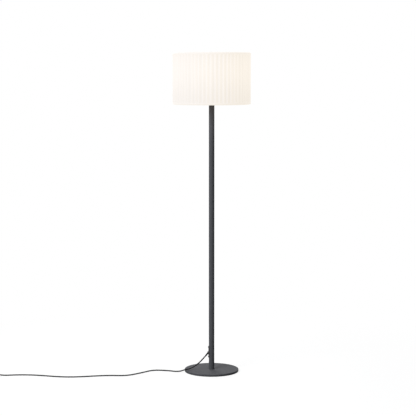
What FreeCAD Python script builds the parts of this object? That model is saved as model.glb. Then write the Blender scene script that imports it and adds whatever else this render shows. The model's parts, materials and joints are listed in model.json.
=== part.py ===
"""Pleated paper lantern floor lamp: a drum shade on a straight round post and a flat disc base.

Millimetres, +Z up. The origin is the middle of the base's underside, on the floor, and the
mains cord leaves the post towards -X. Lengths are cells of the sheet "Sizes" in millimetres,
angles are in degrees.
"""

import FreeCAD, Part

import math
import os
import re

import Sketcher

Vector = FreeCAD.Vector
Z_AXIS = Vector(0, 0, 1)

# ---------------------------------------------------------------- driving dimensions
SIZES = {
    # base
    "base_dia": 255.0,
    "plate_thick": 8.0,
    "plate_edge": 0.8,
    "pad_inset": 0.5,
    "pad_thick": 1.5,
    "pad_hole_dia": 44.0,
    "recess_dia": 26.0,
    "recess_depth": 5.0,
    "bolt_dia": 10.0,
    "bolt_clearance": 1.0,
    "bolt_head_dia": 18.0,
    "bolt_head_thick": 3.6,
    "bolt_reach": 28.0,
    "washer_dia": 22.0,
    "washer_thick": 1.2,
    # post
    "post_dia": 26.0,
    "post_wall": 1.5,
    "post_length": 1256.5,
    "foot_plug_length": 35.0,
    "press_gap": 0.03,
    "thread_gap": 0.05,
    # cord outlet on the post
    "outlet_azimuth": 197.0,
    "outlet_height": 92.5,
    "outlet_below": 2.0,
    "cover_length": 57.0,
    "cover_width": 16.0,
    "cover_thick": 2.2,
    "boss_dia": 11.4,
    "boss_length": 5.0,
    "cover_screw_pitch": 45.0,
    "cover_screw_dia": 3.0,
    "cover_screw_length": 9.0,
    "cover_head_dia": 6.4,
    "cover_head_thick": 2.0,
    "gland_tilt": 47.0,
    "gland_length": 24.0,
    "gland_inside": 3.0,
    "gland_dia": 9.0,
    "gland_tip_dia": 7.0,
    "gland_clearance": 0.8,
    "slot_below": 2.4,
    "slot_above": 2.6,
    "groove_depth": 0.35,
    "slip_gap": 0.15,
    "cord_dia": 6.0,
    "cord_drop": 32.0,
    "cable_lean": 3.1,
    "cable_end_below": 16.0,
    # post top and lampholder
    "top_plug_length": 20.0,
    "top_plug_flange": 3.0,
    "nipple_dia": 10.0,
    "nipple_bore": 7.4,
    "nipple_below": 14.0,
    "nipple_above": 12.0,
    "nut_flats": 17.0,
    "nut_thick": 4.0,
    "holder_neck_dia": 21.0,
    "holder_cap_height": 17.0,
    "holder_wall": 2.0,
    "barrel_dia": 38.6,
    "shoulder_dia": 45.0,
    "shoulder_thick": 3.0,
    "skirt_height": 39.0,
    "thread_depth": 0.5,
    "thread_pitch": 2.5,
    "socket_bore": 27.6,
    "insert_thick": 9.0,
    "terminal_spread": 9.0,
    "terminal_dia": 4.0,
    "wire_dia": 2.4,
    "tongue_thick": 0.6,
    "tongue_width": 6.0,
    # lamp
    "bulb_seat": 20.0,
    "bulb_dia": 60.0,
    "bulb_length": 108.0,
    "bulb_wall": 1.0,
    "bulb_neck_dia": 25.0,
    "bulb_cap_dia": 26.2,
    "bulb_cap_height": 22.0,
    "bulb_cap_wall": 0.6,
    "bulb_thread_pitch": 3.6,
    "bulb_thread_depth": 0.9,
    # shade
    "fitter_bore": 41.0,
    "fitter_dia": 58.0,
    "fitter_thick": 1.6,
    "ring_nut_dia": 54.0,
    "ring_nut_height": 8.0,
    "running_gap": 0.1,
    "shade_dia": 365.0,
    "shade_height": 240.0,
    "shade_drop": 33.0,
    "pleat_count": 60.0,
    "pleat_depth": 3.4,
    "skin_thick": 0.5,
    "liner_thick": 0.8,
    "layer_gap": 0.2,
    "hoop_wire": 3.2,
    "spoke_wire": 3.0,
    "spoke_count": 3.0,
    "spoke_first": 30.0,
    "spoke_slope": 52.0,
    "hoop_lift": 1.0,
    "trim_thick": 0.7,
    "trim_height": 9.0,
    "trim_roll": 7.0,
    "trim_inner_height": 4.0,
    "trim_inner_roll": 3.0,
    # foot switch in the cord
    "switch_length": 78.0,
    "switch_width": 34.0,
    "switch_height": 20.2,
    "switch_corner": 12.0,
    "switch_edge": 3.5,
    "switch_wall": 2.0,
    "switch_split": 10.0,
    "switch_foot_dia": 7.0,
    "switch_foot_thick": 0.8,
    "switch_cord_height": 6.0,
    "pilot_above": 3.0,
    "screw_bite": 1.0,
    "grip_dia": 8.6,
    "grip_tip_dia": 7.2,
    "grip_inside": 6.0,
    "grip_outside": 10.0,
    "button_dia": 21.0,
    "button_rise": 3.6,
    "button_flange": 1.6,
    "button_edge": 2.0,
    "button_gap": 0.3,
    "mechanism_length": 26.0,
    "mechanism_width": 16.0,
    "mechanism_height": 5.0,
    "spring_dia": 9.0,
    "spring_wire": 0.8,
    "spring_turns": 4.0,
    "switch_screw_dia": 3.0,
    "switch_screw_pitch": 56.0,
    "screw_head_dia": 5.6,
    "screw_head_thick": 1.4,
    # coil and plug
    "coil_turn": 7.0,
    "coil_layer": 6.8,
    "coil_outer": 82.5,
    "coil_lift": 4.4,
    "tie_thick": 0.9,
    "tie_width": 8.0,
    "tie_gap": 0.45,
    "tie_corner": 3.0,
    "plug_width": 35.3,
    "plug_back_width": 22.0,
    "plug_back_thick": 12.6,
    "plug_thick": 13.7,
    "plug_length": 36.0,
    "plug_relief_length": 23.0,
    "plug_relief_dia": 10.5,
    "plug_relief_tip_dia": 7.2,
    "pin_dia": 4.0,
    "pin_length": 19.0,
    "pin_spacing": 18.6,
    "sleeve_length": 10.0,
    "sleeve_dia": 3.6,
    "sleeve_wall": 0.5,
}

# Levels and radii that follow from the sizes above, as formulas of their names.
PLACES = {
    "plate_top": "pad_thick + plate_thick",
    "recess_top": "pad_thick + recess_depth",
    "bolt_foot": "recess_top - washer_thick - bolt_head_thick",
    "post_bore": "post_dia - 2 * post_wall",
    "post_top": "plate_top + post_length",
    "top_plug_top": "post_top + top_plug_flange",
    "holder_foot": "top_plug_top + nut_thick",
    "shoulder_foot": "holder_foot + holder_cap_height",
    "shoulder_top": "shoulder_foot + shoulder_thick",
    "skirt_top": "shoulder_top + skirt_height",
    "bulb_tip": "skirt_top - bulb_seat",
    "shade_foot": "shoulder_top - shade_drop",
    "shade_top": "shade_foot + shade_height",
    "shade_radius": "shade_dia / 2",
    "trim_inner": "shade_radius - trim_thick",
    "skin_outer": "trim_inner - layer_gap",
    "skin_inner": "skin_outer - pleat_depth - skin_thick",
    "liner_outer": "skin_inner - layer_gap",
    "liner_inner": "liner_outer - liner_thick",
    "roll_inner": "trim_roll - trim_thick",
    "skin_margin": "trim_roll - sqrt(roll_inner^2 - (roll_inner - layer_gap)^2) + layer_gap",
    "liner_reach": "liner_outer - shade_radius + trim_roll",
    "liner_margin": "trim_roll - sqrt(roll_inner^2 - liner_reach^2) + layer_gap",
    "hoop_radius": "liner_inner - layer_gap - hoop_wire / 2",
    "hoop_rise": "trim_thick + layer_gap + hoop_wire / 2 + hoop_lift",
}

WORD = re.compile(r"[a-z_][a-z0-9_]*")


def formula(text):
    """The text with its places worked out and its size names pointing at the sheet."""

    def swap(match):
        word = match.group()
        if word in PLACES:
            return "(" + formula(PLACES[word]) + ")"
        return "Sizes." + word if word in SIZES else word

    return WORD.sub(swap, str(text))


def value(text):
    """The number that a formula gives, read from the sheet."""
    found = sheet.evalExpression(formula(text))
    return float(getattr(found, "Value", found))


doc = FreeCAD.newDocument("PleatedFloorLamp")
sheet = doc.addObject("Spreadsheet::Sheet", "Sizes")
for row, (name, size) in enumerate(SIZES.items(), start=1):
    sheet.set(f"A{row}", name)
    sheet.set(f"B{row}", str(size))
    sheet.setAlias(f"B{row}", name)
doc.recompute()

nodes = {}


# ---------------------------------------------------------------- ways of making a piece
def place(piece, at="0", x="0", y="0", turn=None):
    """Bind a piece's placement to formulas."""
    piece.setExpression("Placement.Base.x", formula(x))
    piece.setExpression("Placement.Base.y", formula(y))
    piece.setExpression("Placement.Base.z", formula(at))
    if turn:
        piece.setExpression("Placement.Rotation.Angle", formula(turn) + " * 1 deg")


def keep(label, piece):
    """List a finished piece as a sub-part under its own name."""
    piece.Label = label
    nodes[label] = piece
    return piece


def plane_of(body, role):
    """One of a body's own origin planes."""
    return next(f for f in body.Origin.OriginFeatures if f.Role == role)


def sketch_on(body, role, name):
    """A sketch attached to one of the body's origin planes."""
    sketch = body.newObject("Sketcher::SketchObject", name)
    sketch.AttachmentSupport = [(plane_of(body, role), "")]
    sketch.MapMode = "FlatFace"
    return sketch


def outline(sketch, points):
    """A closed run of straight lines whose corners are bound to formulas."""
    corners = [(value(a), value(b)) for a, b in points]
    count = len(points)
    first = sketch.GeometryCount
    for i in range(count):
        start, end = corners[i], corners[(i + 1) % count]
        sketch.addGeometry(Part.LineSegment(Vector(*start, 0), Vector(*end, 0)), False)
    for i in range(count):
        sketch.addConstraint(Sketcher.Constraint("Coincident", first + i, 2, first + (i + 1) % count, 1))
    for i, (texts, corner) in enumerate(zip(points, corners)):
        for kind, text, size in zip(("DistanceX", "DistanceY"), texts, corner):
            index = sketch.addConstraint(Sketcher.Constraint(kind, -1, 1, first + i, 1, size))
            if str(text) != "0":
                sketch.setExpression(f"Constraints[{index}]", formula(text))


def turned(label, at, profile, rounds=()):
    """A turned piece: its (radius, height) profile revolved about Z, with rounded rims."""
    body = doc.addObject("PartDesign::Body", label)
    sketch = sketch_on(body, "XZ_Plane", label + "_profile")
    outline(sketch, profile)
    revolution = body.newObject("PartDesign::Revolution", label + "_turned")
    revolution.Profile = sketch
    revolution.ReferenceAxis = (sketch, ["V_Axis"])
    revolution.Angle = 360
    doc.recompute()
    for number, (radius, height, size) in enumerate(rounds):
        round_rim(body, f"{label}_rim{number}", value(radius), value(height), size)
    place(body, at)
    return keep(label, body)


def round_rim(body, name, radius, height, size):
    """Fillet the circular edges of a body at one radius and height."""
    base = body.Tip
    found = [
        f"Edge{i}"
        for i, edge in enumerate(base.Shape.Edges, start=1)
        if isinstance(edge.Curve, Part.Circle)
        and abs(edge.Curve.Radius - radius) < 1e-4
        and abs(edge.Curve.Center.z - height) < 1e-4
    ]
    fillet = body.newObject("PartDesign::Fillet", name)
    fillet.Base = (base, found)
    fillet.setExpression("Radius", formula(size))
    doc.recompute()


def drilled(body, name, role, holes, depth):
    """Round holes (across, up, diameter) bored through a body from one of its planes."""
    sketch = sketch_on(body, role, name + "_sketch")
    for across, up, size in holes:
        place_at = Vector(value(across), value(up), 0)
        index = sketch.addGeometry(Part.Circle(place_at, Z_AXIS, value(size) / 2), False)
        for kind, text, number in (("DistanceX", across, place_at.x), ("DistanceY", up, place_at.y)):
            key = sketch.addConstraint(Sketcher.Constraint(kind, -1, 1, index, 3, number))
            if str(text) != "0":
                sketch.setExpression(f"Constraints[{key}]", formula(text))
        key = sketch.addConstraint(Sketcher.Constraint("Diameter", index, value(size)))
        sketch.setExpression(f"Constraints[{key}]", formula(size))
    doc.recompute()
    before = body.Shape.Volume
    pocket = body.newObject("PartDesign::Pocket", name)
    pocket.Profile = sketch
    pocket.setExpression("Length", formula(depth))
    pocket.Reversed = True
    doc.recompute()
    if before - body.Shape.Volume < 1e-3:
        raise RuntimeError(f"{name} cuts nothing")
    return body


def primitive(kind, name, at="0", x="0", y="0", turn=None, **sizes):
    """A Part primitive whose sizes and place are formulas."""
    piece = doc.addObject("Part::" + kind, name)
    for key, text in sizes.items():
        piece.setExpression(key, formula(text))
    place(piece, at, x, y, turn)
    return piece


def boolean(kind, name, base, tool):
    """One Part boolean of two objects."""
    piece = doc.addObject("Part::" + kind, name)
    piece.Base = base
    piece.Tool = tool
    return piece


def formed(label, shape, at=Vector(0, 0, 0), turn=0.0):
    """A piece whose shape is worked out in this source from the sheet's sizes."""
    piece = doc.addObject("Part::Feature", label)
    own = shape.Placement
    piece.Shape = shape
    piece.Placement = FreeCAD.Placement(at, FreeCAD.Rotation(Z_AXIS, turn)).multiply(own)
    return keep(label, piece)


def arc_through(a, b, c):
    """A round edge from a to c by way of b."""
    return Part.Arc(a, b, c).toShape()


def line(a, b):
    """A straight edge from a to b."""
    return Part.makeLine(a, b)


def spun(edges):
    """A solid from a closed outline in the XZ plane, revolved about Z."""
    face = Part.Face(Part.Wire(Part.__sortEdges__(edges)))
    return face.revolve(Vector(0, 0, 0), Z_AXIS, 360)


# ---------------------------------------------------------------- tubes along routes
def swept(edges, diameter):
    """A round tube along joined edges, in the pipe shell's default mode."""
    path = Part.Wire(edges)
    start = edges[0].valueAt(edges[0].FirstParameter)
    heading = edges[0].tangentAt(edges[0].FirstParameter)
    ring = Part.Wire([Part.makeCircle(diameter / 2, start, heading)])
    return path.makePipeShell([ring], True, False)


def rounded_route(points, run_share=0.45):
    """Straight runs joined by tangent arcs, and the arcs' least radius."""
    edges = []
    radii = []
    last = points[0]
    for before, corner, after in zip(points, points[1:], points[2:]):
        run_in = corner - before
        run_out = after - corner
        half = run_in.getAngle(run_out) / 2
        reach = run_share * min(run_in.Length, run_out.Length)
        radius = reach / math.tan(half)
        toward = run_out.normalize() - run_in.normalize()
        middle = corner + toward.normalize() * radius * (1 / math.cos(half) - 1)
        start = corner - run_in * reach
        end = corner + run_out * reach
        edges += [line(last, start), arc_through(start, middle, end)]
        radii.append(radius)
        last = end
    edges.append(line(last, points[-1]))
    return edges, min(radii)


def cord_tube(name, points, diameter):
    """A cord's free stretch; its volume is compared with its section times its length."""
    edges, least = rounded_route(points)
    tube = swept(edges, diameter)
    length = sum(edge.Length for edge in edges)
    share = tube.Volume / (math.pi / 4 * diameter ** 2 * length)
    print(f"{name}: {length:.1f} mm long, least radius {least:.1f} mm, volume share {share:.4f}")
    if abs(share - 1) > 0.01:
        raise RuntimeError(f"{name} isn't a whole tube")
    return tube


def arc_from(start, heading_point, end):
    """The arc from start to end whose end tangents meet at heading_point."""
    chord = (start + end) * 0.5
    rise = heading_point - chord
    half = (end - start).Length / 2
    angle = math.atan2(rise.Length, half)
    if angle < 1e-7:
        return line(start, end)
    return arc_through(start, chord + rise.normalize() * half * math.tan(angle / 2), end)


def biarc(start, start_way, end, end_way):
    """Two arcs that join two places along their two unit tangents."""
    span = end - start
    ways = start_way + end_way
    square = 2 * (1 - start_way.dot(end_way))
    cross = span.dot(ways)
    reach = (-cross + math.sqrt(cross ** 2 + square * span.dot(span))) / square
    first = start + start_way * reach
    second = end - end_way * reach
    middle = (first + second) * 0.5
    return [arc_from(start, first, middle), arc_from(middle, second, end)]


def wound(place_at, turns, per_turn=4):
    """Biarcs along a winding: place_at(u) gives the place after u turns."""
    steps = round(turns * per_turn)
    small = 1e-5
    stops = []
    for i in range(steps + 1):
        u = turns * i / steps
        way = place_at(u + small) - place_at(u - small)
        stops.append((place_at(u), way.normalize()))
    edges = []
    for (start, start_way), (end, end_way) in zip(stops, stops[1:]):
        edges += biarc(start, start_way, end, end_way)
    return edges, stops


def self_gap(edges, diameter, step=1.5):
    """The least gap between a winding's surface and itself, measured on points."""
    points = []
    for edge in edges:
        points += edge.discretize(max(3, int(edge.Length / step)))[:-1]
    along = [0.0]
    for a, b in zip(points, points[1:]):
        along.append(along[-1] + (b - a).Length)
    apart = 4 * diameter
    least = min(
        (points[i] - points[j]).Length
        for i in range(len(points))
        for j in range(i + 1, len(points))
        if along[j] - along[i] > apart
    )
    return least - diameter


# ---------------------------------------------------------------- base
turned(
    "base_plate",
    "pad_thick",
    [
        ("recess_dia / 2", "0"),
        ("base_dia / 2", "0"),
        ("base_dia / 2", "plate_thick"),
        ("bolt_dia / 2 + bolt_clearance", "plate_thick"),
        ("bolt_dia / 2 + bolt_clearance", "recess_depth"),
        ("recess_dia / 2", "recess_depth"),
    ],
    rounds=[("base_dia / 2", "plate_thick", "plate_edge"), ("base_dia / 2", "0", "plate_edge")],
)

turned(
    "base_pad",
    "0",
    [
        ("pad_hole_dia / 2", "0"),
        ("base_dia / 2 - pad_inset", "0"),
        ("base_dia / 2 - pad_inset", "pad_thick"),
        ("pad_hole_dia / 2", "pad_thick"),
    ],
)

turned(
    "base_washer",
    "recess_top - washer_thick",
    [
        ("bolt_dia / 2 + thread_gap", "0"),
        ("washer_dia / 2", "0"),
        ("washer_dia / 2", "washer_thick"),
        ("bolt_dia / 2 + thread_gap", "washer_thick"),
    ],
)

turned(
    "base_bolt",
    "bolt_foot",
    [
        ("0", "0"),
        ("bolt_head_dia / 2", "0"),
        ("bolt_head_dia / 2", "bolt_head_thick"),
        ("bolt_dia / 2", "bolt_head_thick"),
        ("bolt_dia / 2", "plate_top - bolt_foot + bolt_reach"),
        ("0", "plate_top - bolt_foot + bolt_reach"),
    ],
    rounds=[("bolt_head_dia / 2", "0", "bolt_head_thick / 6")],
)

# ---------------------------------------------------------------- post
turned(
    "foot_plug",
    "plate_top",
    [
        ("bolt_dia / 2 + thread_gap", "0"),
        ("post_bore / 2 - press_gap", "0"),
        ("post_bore / 2 - press_gap", "foot_plug_length"),
        ("bolt_dia / 2 + thread_gap", "foot_plug_length"),
    ],
    rounds=[("post_bore / 2 - press_gap", "foot_plug_length", "post_wall / 2")],
)

post = turned(
    "post_tube",
    "plate_top",
    [
        ("post_bore / 2", "0"),
        ("post_dia / 2", "0"),
        ("post_dia / 2", "post_length"),
        ("post_bore / 2", "post_length"),
    ],
)
place(post, "plate_top", turn="outlet_azimuth")
drilled(
    post,
    "cover_screw_holes",
    "YZ_Plane",
    [
        ("0", "outlet_height + cover_screw_pitch / 2 - plate_top", "cover_screw_dia + 2 * thread_gap"),
        ("0", "outlet_height - cover_screw_pitch / 2 - plate_top", "cover_screw_dia + 2 * thread_gap"),
    ],
    "post_dia",
)
# The cord's slot is two holes, one above the other, for the gland's slant.
for end, level in (("lower", "outlet_height - slot_below"), ("upper", "outlet_height + slot_above")):
    slot_end = ("0", f"{level} - plate_top", "gland_dia + 2 * gland_clearance")
    drilled(post, f"{end}_slot_end", "YZ_Plane", [slot_end], "post_dia")

turned(
    "top_plug",
    "post_top - top_plug_length",
    [
        ("nipple_dia / 2 + thread_gap", "0"),
        ("post_bore / 2 - press_gap", "0"),
        ("post_bore / 2 - press_gap", "top_plug_length"),
        ("post_dia / 2", "top_plug_length"),
        ("post_dia / 2", "top_plug_length + top_plug_flange"),
        ("nipple_dia / 2 + thread_gap", "top_plug_length + top_plug_flange"),
    ],
    rounds=[("post_dia / 2", "top_plug_length + top_plug_flange", "top_plug_flange / 3")],
)

turned(
    "threaded_nipple",
    "top_plug_top - nipple_below",
    [
        ("nipple_bore / 2", "0"),
        ("nipple_dia / 2", "0"),
        ("nipple_dia / 2", "nipple_below + nut_thick + nipple_above"),
        ("nipple_bore / 2", "nipple_below + nut_thick + nipple_above"),
    ],
)

lock_hex = primitive(
    "Prism",
    "lock_hex",
    "top_plug_top",
    Circumradius="nut_flats / 2 / cos(30 deg)",
    Height="nut_thick",
)
lock_bore = primitive(
    "Cylinder",
    "lock_bore",
    "top_plug_top - 1",
    Radius="nipple_dia / 2 + thread_gap",
    Height="nut_thick + 2",
)
keep("lock_nut", boolean("Cut", "lock_nut", lock_hex, lock_bore))


# ---------------------------------------------------------------- cord outlet
# The cover's own frame has +X pointing straight out of the post, turned to the azimuth.
cover_round = primitive(
    "Cylinder",
    "cover_round",
    "outlet_height - cover_length / 2",
    Radius="post_dia / 2 + cover_thick",
    Height="cover_length",
)
cover_middle = primitive(
    "Box",
    "cover_middle",
    "outlet_height - cover_length / 2 + cover_width / 2",
    y="0 - cover_width / 2",
    Length="post_dia / 2 + cover_thick + 2",
    Width="cover_width",
    Height="cover_length - cover_width",
)
cover_ends = []
for sign, name in (("-", "lower"), ("+", "upper")):
    end = primitive(
        "Cylinder",
        f"cover_{name}_end",
        f"outlet_height {sign} (cover_length - cover_width) / 2",
        Radius="cover_width / 2",
        Height="post_dia / 2 + cover_thick + 2",
    )
    end.Placement = FreeCAD.Placement(end.Placement.Base, FreeCAD.Rotation(Vector(0, 1, 0), 90))
    place(end, f"outlet_height {sign} (cover_length - cover_width) / 2")
    cover_ends.append(end)
cover_stadium = doc.addObject("Part::MultiFuse", "cover_stadium")
cover_stadium.Shapes = [cover_middle] + cover_ends
cover_plate = boolean("Common", "cover_plate", cover_round, cover_stadium)


def along_gland(distance):
    """A place on the gland's axis, in the cover's frame: 0 is at the post's face."""
    tilt = math.radians(value("gland_tilt"))
    mouth = Vector(value("post_dia / 2 + 1"), 0, value("outlet_height - outlet_below"))
    return mouth + Vector(math.cos(tilt), 0, -math.sin(tilt)) * distance


def on_gland(name, radius, start, length):
    """A cylinder on the gland's axis."""
    piece = doc.addObject("Part::Cylinder", name)
    piece.setExpression("Radius", formula(radius))
    piece.setExpression("Height", formula(length))
    heading = along_gland(1) - along_gland(0)
    piece.Placement = FreeCAD.Placement(along_gland(value(start)), FreeCAD.Rotation(Z_AXIS, heading))
    return piece


cover_boss = on_gland("cover_boss", "boss_dia / 2", "0 - gland_inside", "gland_inside + boss_length")
cover_solid = boolean("Fuse", "cover_solid", cover_plate, cover_boss)
post_space = primitive(
    "Cylinder",
    "post_space",
    "outlet_height - cover_length",
    Radius="post_dia / 2 + thread_gap",
    Height="2 * cover_length",
)
gland_space = on_gland(
    "gland_space",
    "gland_dia / 2 + thread_gap",
    "0 - 3 * gland_inside",
    "3 * gland_inside + 2 * boss_length",
)
cover_tools = [post_space, gland_space]
for sign, name in (("-", "lower"), ("+", "upper")):
    hole = primitive(
        "Cylinder",
        f"{name}_screw_space",
        f"outlet_height {sign} cover_screw_pitch / 2",
        Radius="cover_screw_dia / 2 + slip_gap",
        Height="post_dia",
    )
    hole.Placement = FreeCAD.Placement(hole.Placement.Base, FreeCAD.Rotation(Vector(0, 1, 0), 90))
    place(hole, f"outlet_height {sign} cover_screw_pitch / 2")
    cover_tools.append(hole)
cover_holes = doc.addObject("Part::MultiFuse", "cover_holes")
cover_holes.Shapes = cover_tools
cord_cover = keep("cord_cover", boolean("Cut", "cord_cover", cover_solid, cover_holes))
place(cord_cover, turn="outlet_azimuth")


def pan_head_screw(shank, length, head, thick):
    """A pan-head screw along +X, its head's seat at the origin and its shank towards -X."""
    dome = 0.35 * head
    profile = [
        line(Vector(0, 0, -length), Vector(shank, 0, -length)),
        line(Vector(shank, 0, -length), Vector(shank, 0, 0)),
        line(Vector(shank, 0, 0), Vector(head, 0, 0)),
        line(Vector(head, 0, 0), Vector(head, 0, thick * 0.35)),
        arc_through(
            Vector(head, 0, thick * 0.35),
            Vector(head - dome * 0.35, 0, thick * 0.8),
            Vector(head - dome, 0, thick),
        ),
        line(Vector(head - dome, 0, thick), Vector(0, 0, thick)),
        line(Vector(0, 0, thick), Vector(0, 0, -length)),
    ]
    solid = spun(profile)
    for turn in (0, 90):
        slot = Part.makeBox(head, shank * 0.45, thick, Vector(-head / 2, -shank * 0.225, thick * 0.45))
        slot.rotate(Vector(0, 0, 0), Z_AXIS, turn)
        solid = solid.cut(slot)
    solid.rotate(Vector(0, 0, 0), Vector(0, 1, 0), 90)
    return solid


cover_screws = []
for side in (-1, 1):
    screw = pan_head_screw(
        value("cover_screw_dia / 2"),
        value("cover_screw_length"),
        value("cover_head_dia / 2"),
        value("cover_head_thick"),
    )
    seat = value("post_dia / 2 + cover_thick") + value("thread_gap")
    screw.translate(Vector(seat, 0, value("outlet_height") + side * value("cover_screw_pitch / 2")))
    cover_screws.append(screw)
formed("cord_cover_screws", Part.makeCompound(cover_screws), turn=value("outlet_azimuth"))


def tapered_sleeve(start_radius, end_radius, length, collar):
    """A strain relief along +Z: a collar, then a taper with moulded rings, rounded at its tip."""
    rings = 4
    depth = value("groove_depth")
    points = [Vector(0, 0, 0), Vector(start_radius, 0, 0), Vector(start_radius, 0, collar)]
    taper = length - collar
    fall = (start_radius - end_radius) / taper
    for i in range(rings):
        low = collar + taper * (i + 0.35) / rings
        high = collar + taper * (i + 0.65) / rings
        for z, groove in ((low, 0), (low, depth), (high, depth), (high, 0)):
            points.append(Vector(start_radius - fall * (z - collar) - groove, 0, z))
    points += [Vector(end_radius, 0, length), Vector(0, 0, length)]
    return spun([line(a, b) for a, b in zip(points, points[1:] + points[:1])])


def aimed(shape, start, heading):
    """A shape built along +Z, turned to a heading and moved to its start."""
    shape.Placement = FreeCAD.Placement(start, FreeCAD.Rotation(Z_AXIS, heading))
    return shape


gland = tapered_sleeve(
    value("gland_dia / 2"),
    value("gland_tip_dia / 2"),
    value("gland_length + gland_inside"),
    value("gland_inside + boss_length"),
)
gland_way = along_gland(1) - along_gland(0)
formed(
    "cord_gland",
    aimed(gland, along_gland(-value("gland_inside")), gland_way),
    turn=value("outlet_azimuth"),
)

# The cable runs from the gland up inside the post, leaning on its wall.
cable_start = along_gland(-value("gland_inside"))
bend = cable_start + gland_way * ((value("cable_lean") - cable_start.x) / gland_way.x)
cable_end = Vector(bend.x, 0, value("top_plug_top - nipple_below - cable_end_below"))
cable_radius = 5 * value("cord_dia")
cable_reach = cable_radius * math.tan((bend - cable_start).getAngle(cable_end - bend) / 2)
into_bend = bend - (bend - cable_start).normalize() * cable_reach
out_of_bend = bend + Vector(0, 0, cable_reach)
cable_edges = [
    line(cable_start, into_bend),
    arc_from(into_bend, bend, out_of_bend),
    line(out_of_bend, cable_end),
]
formed("inner_cable", swept(cable_edges, value("cord_dia")), turn=value("outlet_azimuth"))

# ---------------------------------------------------------------- lampholder
turned(
    "holder_cap",
    "holder_foot",
    [
        ("nipple_dia / 2 + thread_gap", "0"),
        ("holder_neck_dia / 2", "0"),
        ("holder_neck_dia / 2", "holder_cap_height * 0.3"),
        ("barrel_dia / 2", "holder_cap_height * 0.62"),
        ("barrel_dia / 2", "holder_cap_height"),
        ("barrel_dia / 2 - holder_wall", "holder_cap_height"),
        ("barrel_dia / 2 - holder_wall", "holder_cap_height * 0.62 + holder_wall / 2"),
        ("holder_neck_dia / 2 - holder_wall", "holder_cap_height * 0.3 + holder_wall"),
        ("nipple_dia / 2 + thread_gap", "holder_cap_height * 0.3 + holder_wall"),
    ],
    rounds=[("holder_neck_dia / 2", "0", "holder_wall / 4")],
)

thread_count = int(value("(skirt_height - 4) / thread_pitch"))
skirt_profile = [
    ("socket_bore / 2", "0"),
    ("shoulder_dia / 2", "0"),
    ("shoulder_dia / 2", "shoulder_thick"),
    ("barrel_dia / 2", "shoulder_thick"),
]
for ridge in range(thread_count):
    foot = f"shoulder_thick + {ridge + 1} * thread_pitch"
    skirt_profile += [
        ("barrel_dia / 2", f"{foot} - thread_pitch / 2"),
        ("barrel_dia / 2 + thread_depth", f"{foot} - thread_pitch / 4"),
        ("barrel_dia / 2 + thread_depth", f"{foot} - thread_pitch / 8"),
        ("barrel_dia / 2", foot),
    ]
skirt_profile += [
    ("barrel_dia / 2", "shoulder_thick + skirt_height"),
    ("socket_bore / 2", "shoulder_thick + skirt_height"),
]
turned("holder_skirt", "shoulder_foot", skirt_profile)

insert = turned(
    "holder_insert",
    "shoulder_foot",
    [
        ("0", "0"),
        ("socket_bore / 2 - thread_gap", "0"),
        ("socket_bore / 2 - thread_gap", "insert_thick"),
        ("0", "insert_thick"),
    ],
)
drilled(
    insert,
    "terminal_holes",
    "XY_Plane",
    [
        ("0 - terminal_spread", "0", "terminal_dia + 2 * thread_gap"),
        ("terminal_spread", "0", "terminal_dia + 2 * thread_gap"),
    ],
    "insert_thick",
)

terminals = []
for side in (-1, 1):
    terminals.append(
        Part.makeCylinder(
            value("terminal_dia / 2"),
            value("insert_thick - thread_gap"),
            Vector(side * value("terminal_spread"), 0, value("shoulder_foot")),
        )
    )
formed("terminal_posts", Part.makeCompound(terminals))

# A sprung brass tongue rises from one terminal to the lamp's tip contact.
tongue_foot = value("shoulder_foot + insert_thick")
tongue_top = value("bulb_tip") - value("running_gap")
tongue_thick = value("tongue_thick")
tongue_half = value("tongue_width / 2")
tongue_end = -value("terminal_spread") - tongue_half
tongue_profile = [
    Vector(tongue_end, 0, tongue_foot),
    Vector(tongue_half, 0, tongue_foot),
    Vector(-tongue_half, 0, tongue_top - tongue_thick),
    Vector(tongue_half, 0, tongue_top - tongue_thick),
    Vector(tongue_half, 0, tongue_top),
    Vector(-tongue_half - 2 * tongue_thick, 0, tongue_top),
    Vector(tongue_half - 2.7 * tongue_thick, 0, tongue_foot + tongue_thick),
    Vector(tongue_end, 0, tongue_foot + tongue_thick),
]
tongue_face = Part.Face(Part.makePolygon(tongue_profile + tongue_profile[:1]))
tongue = tongue_face.extrude(Vector(0, 2 * tongue_half, 0))
tongue.translate(Vector(0, -tongue_half, 0))
formed("centre_contact", tongue)

# Two insulated cores go from the cable through the nipple to the terminals.
wire_radius = value("wire_dia / 2")
leads = []
for side in (-1, 1):
    apart = side * (wire_radius + value("slip_gap"))
    lead_points = [
        Vector(apart, 0, cable_end.z + value("slip_gap")),
        Vector(apart, 0, value("top_plug_top + nut_thick + nipple_above")),
        Vector(side * value("terminal_spread") * 0.6, 0, value("shoulder_foot") - wire_radius),
    ]
    lead_edges, _ = rounded_route(lead_points)
    leads.append(swept(lead_edges, value("wire_dia")))
formed("holder_leads", Part.makeCompound(leads))

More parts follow.
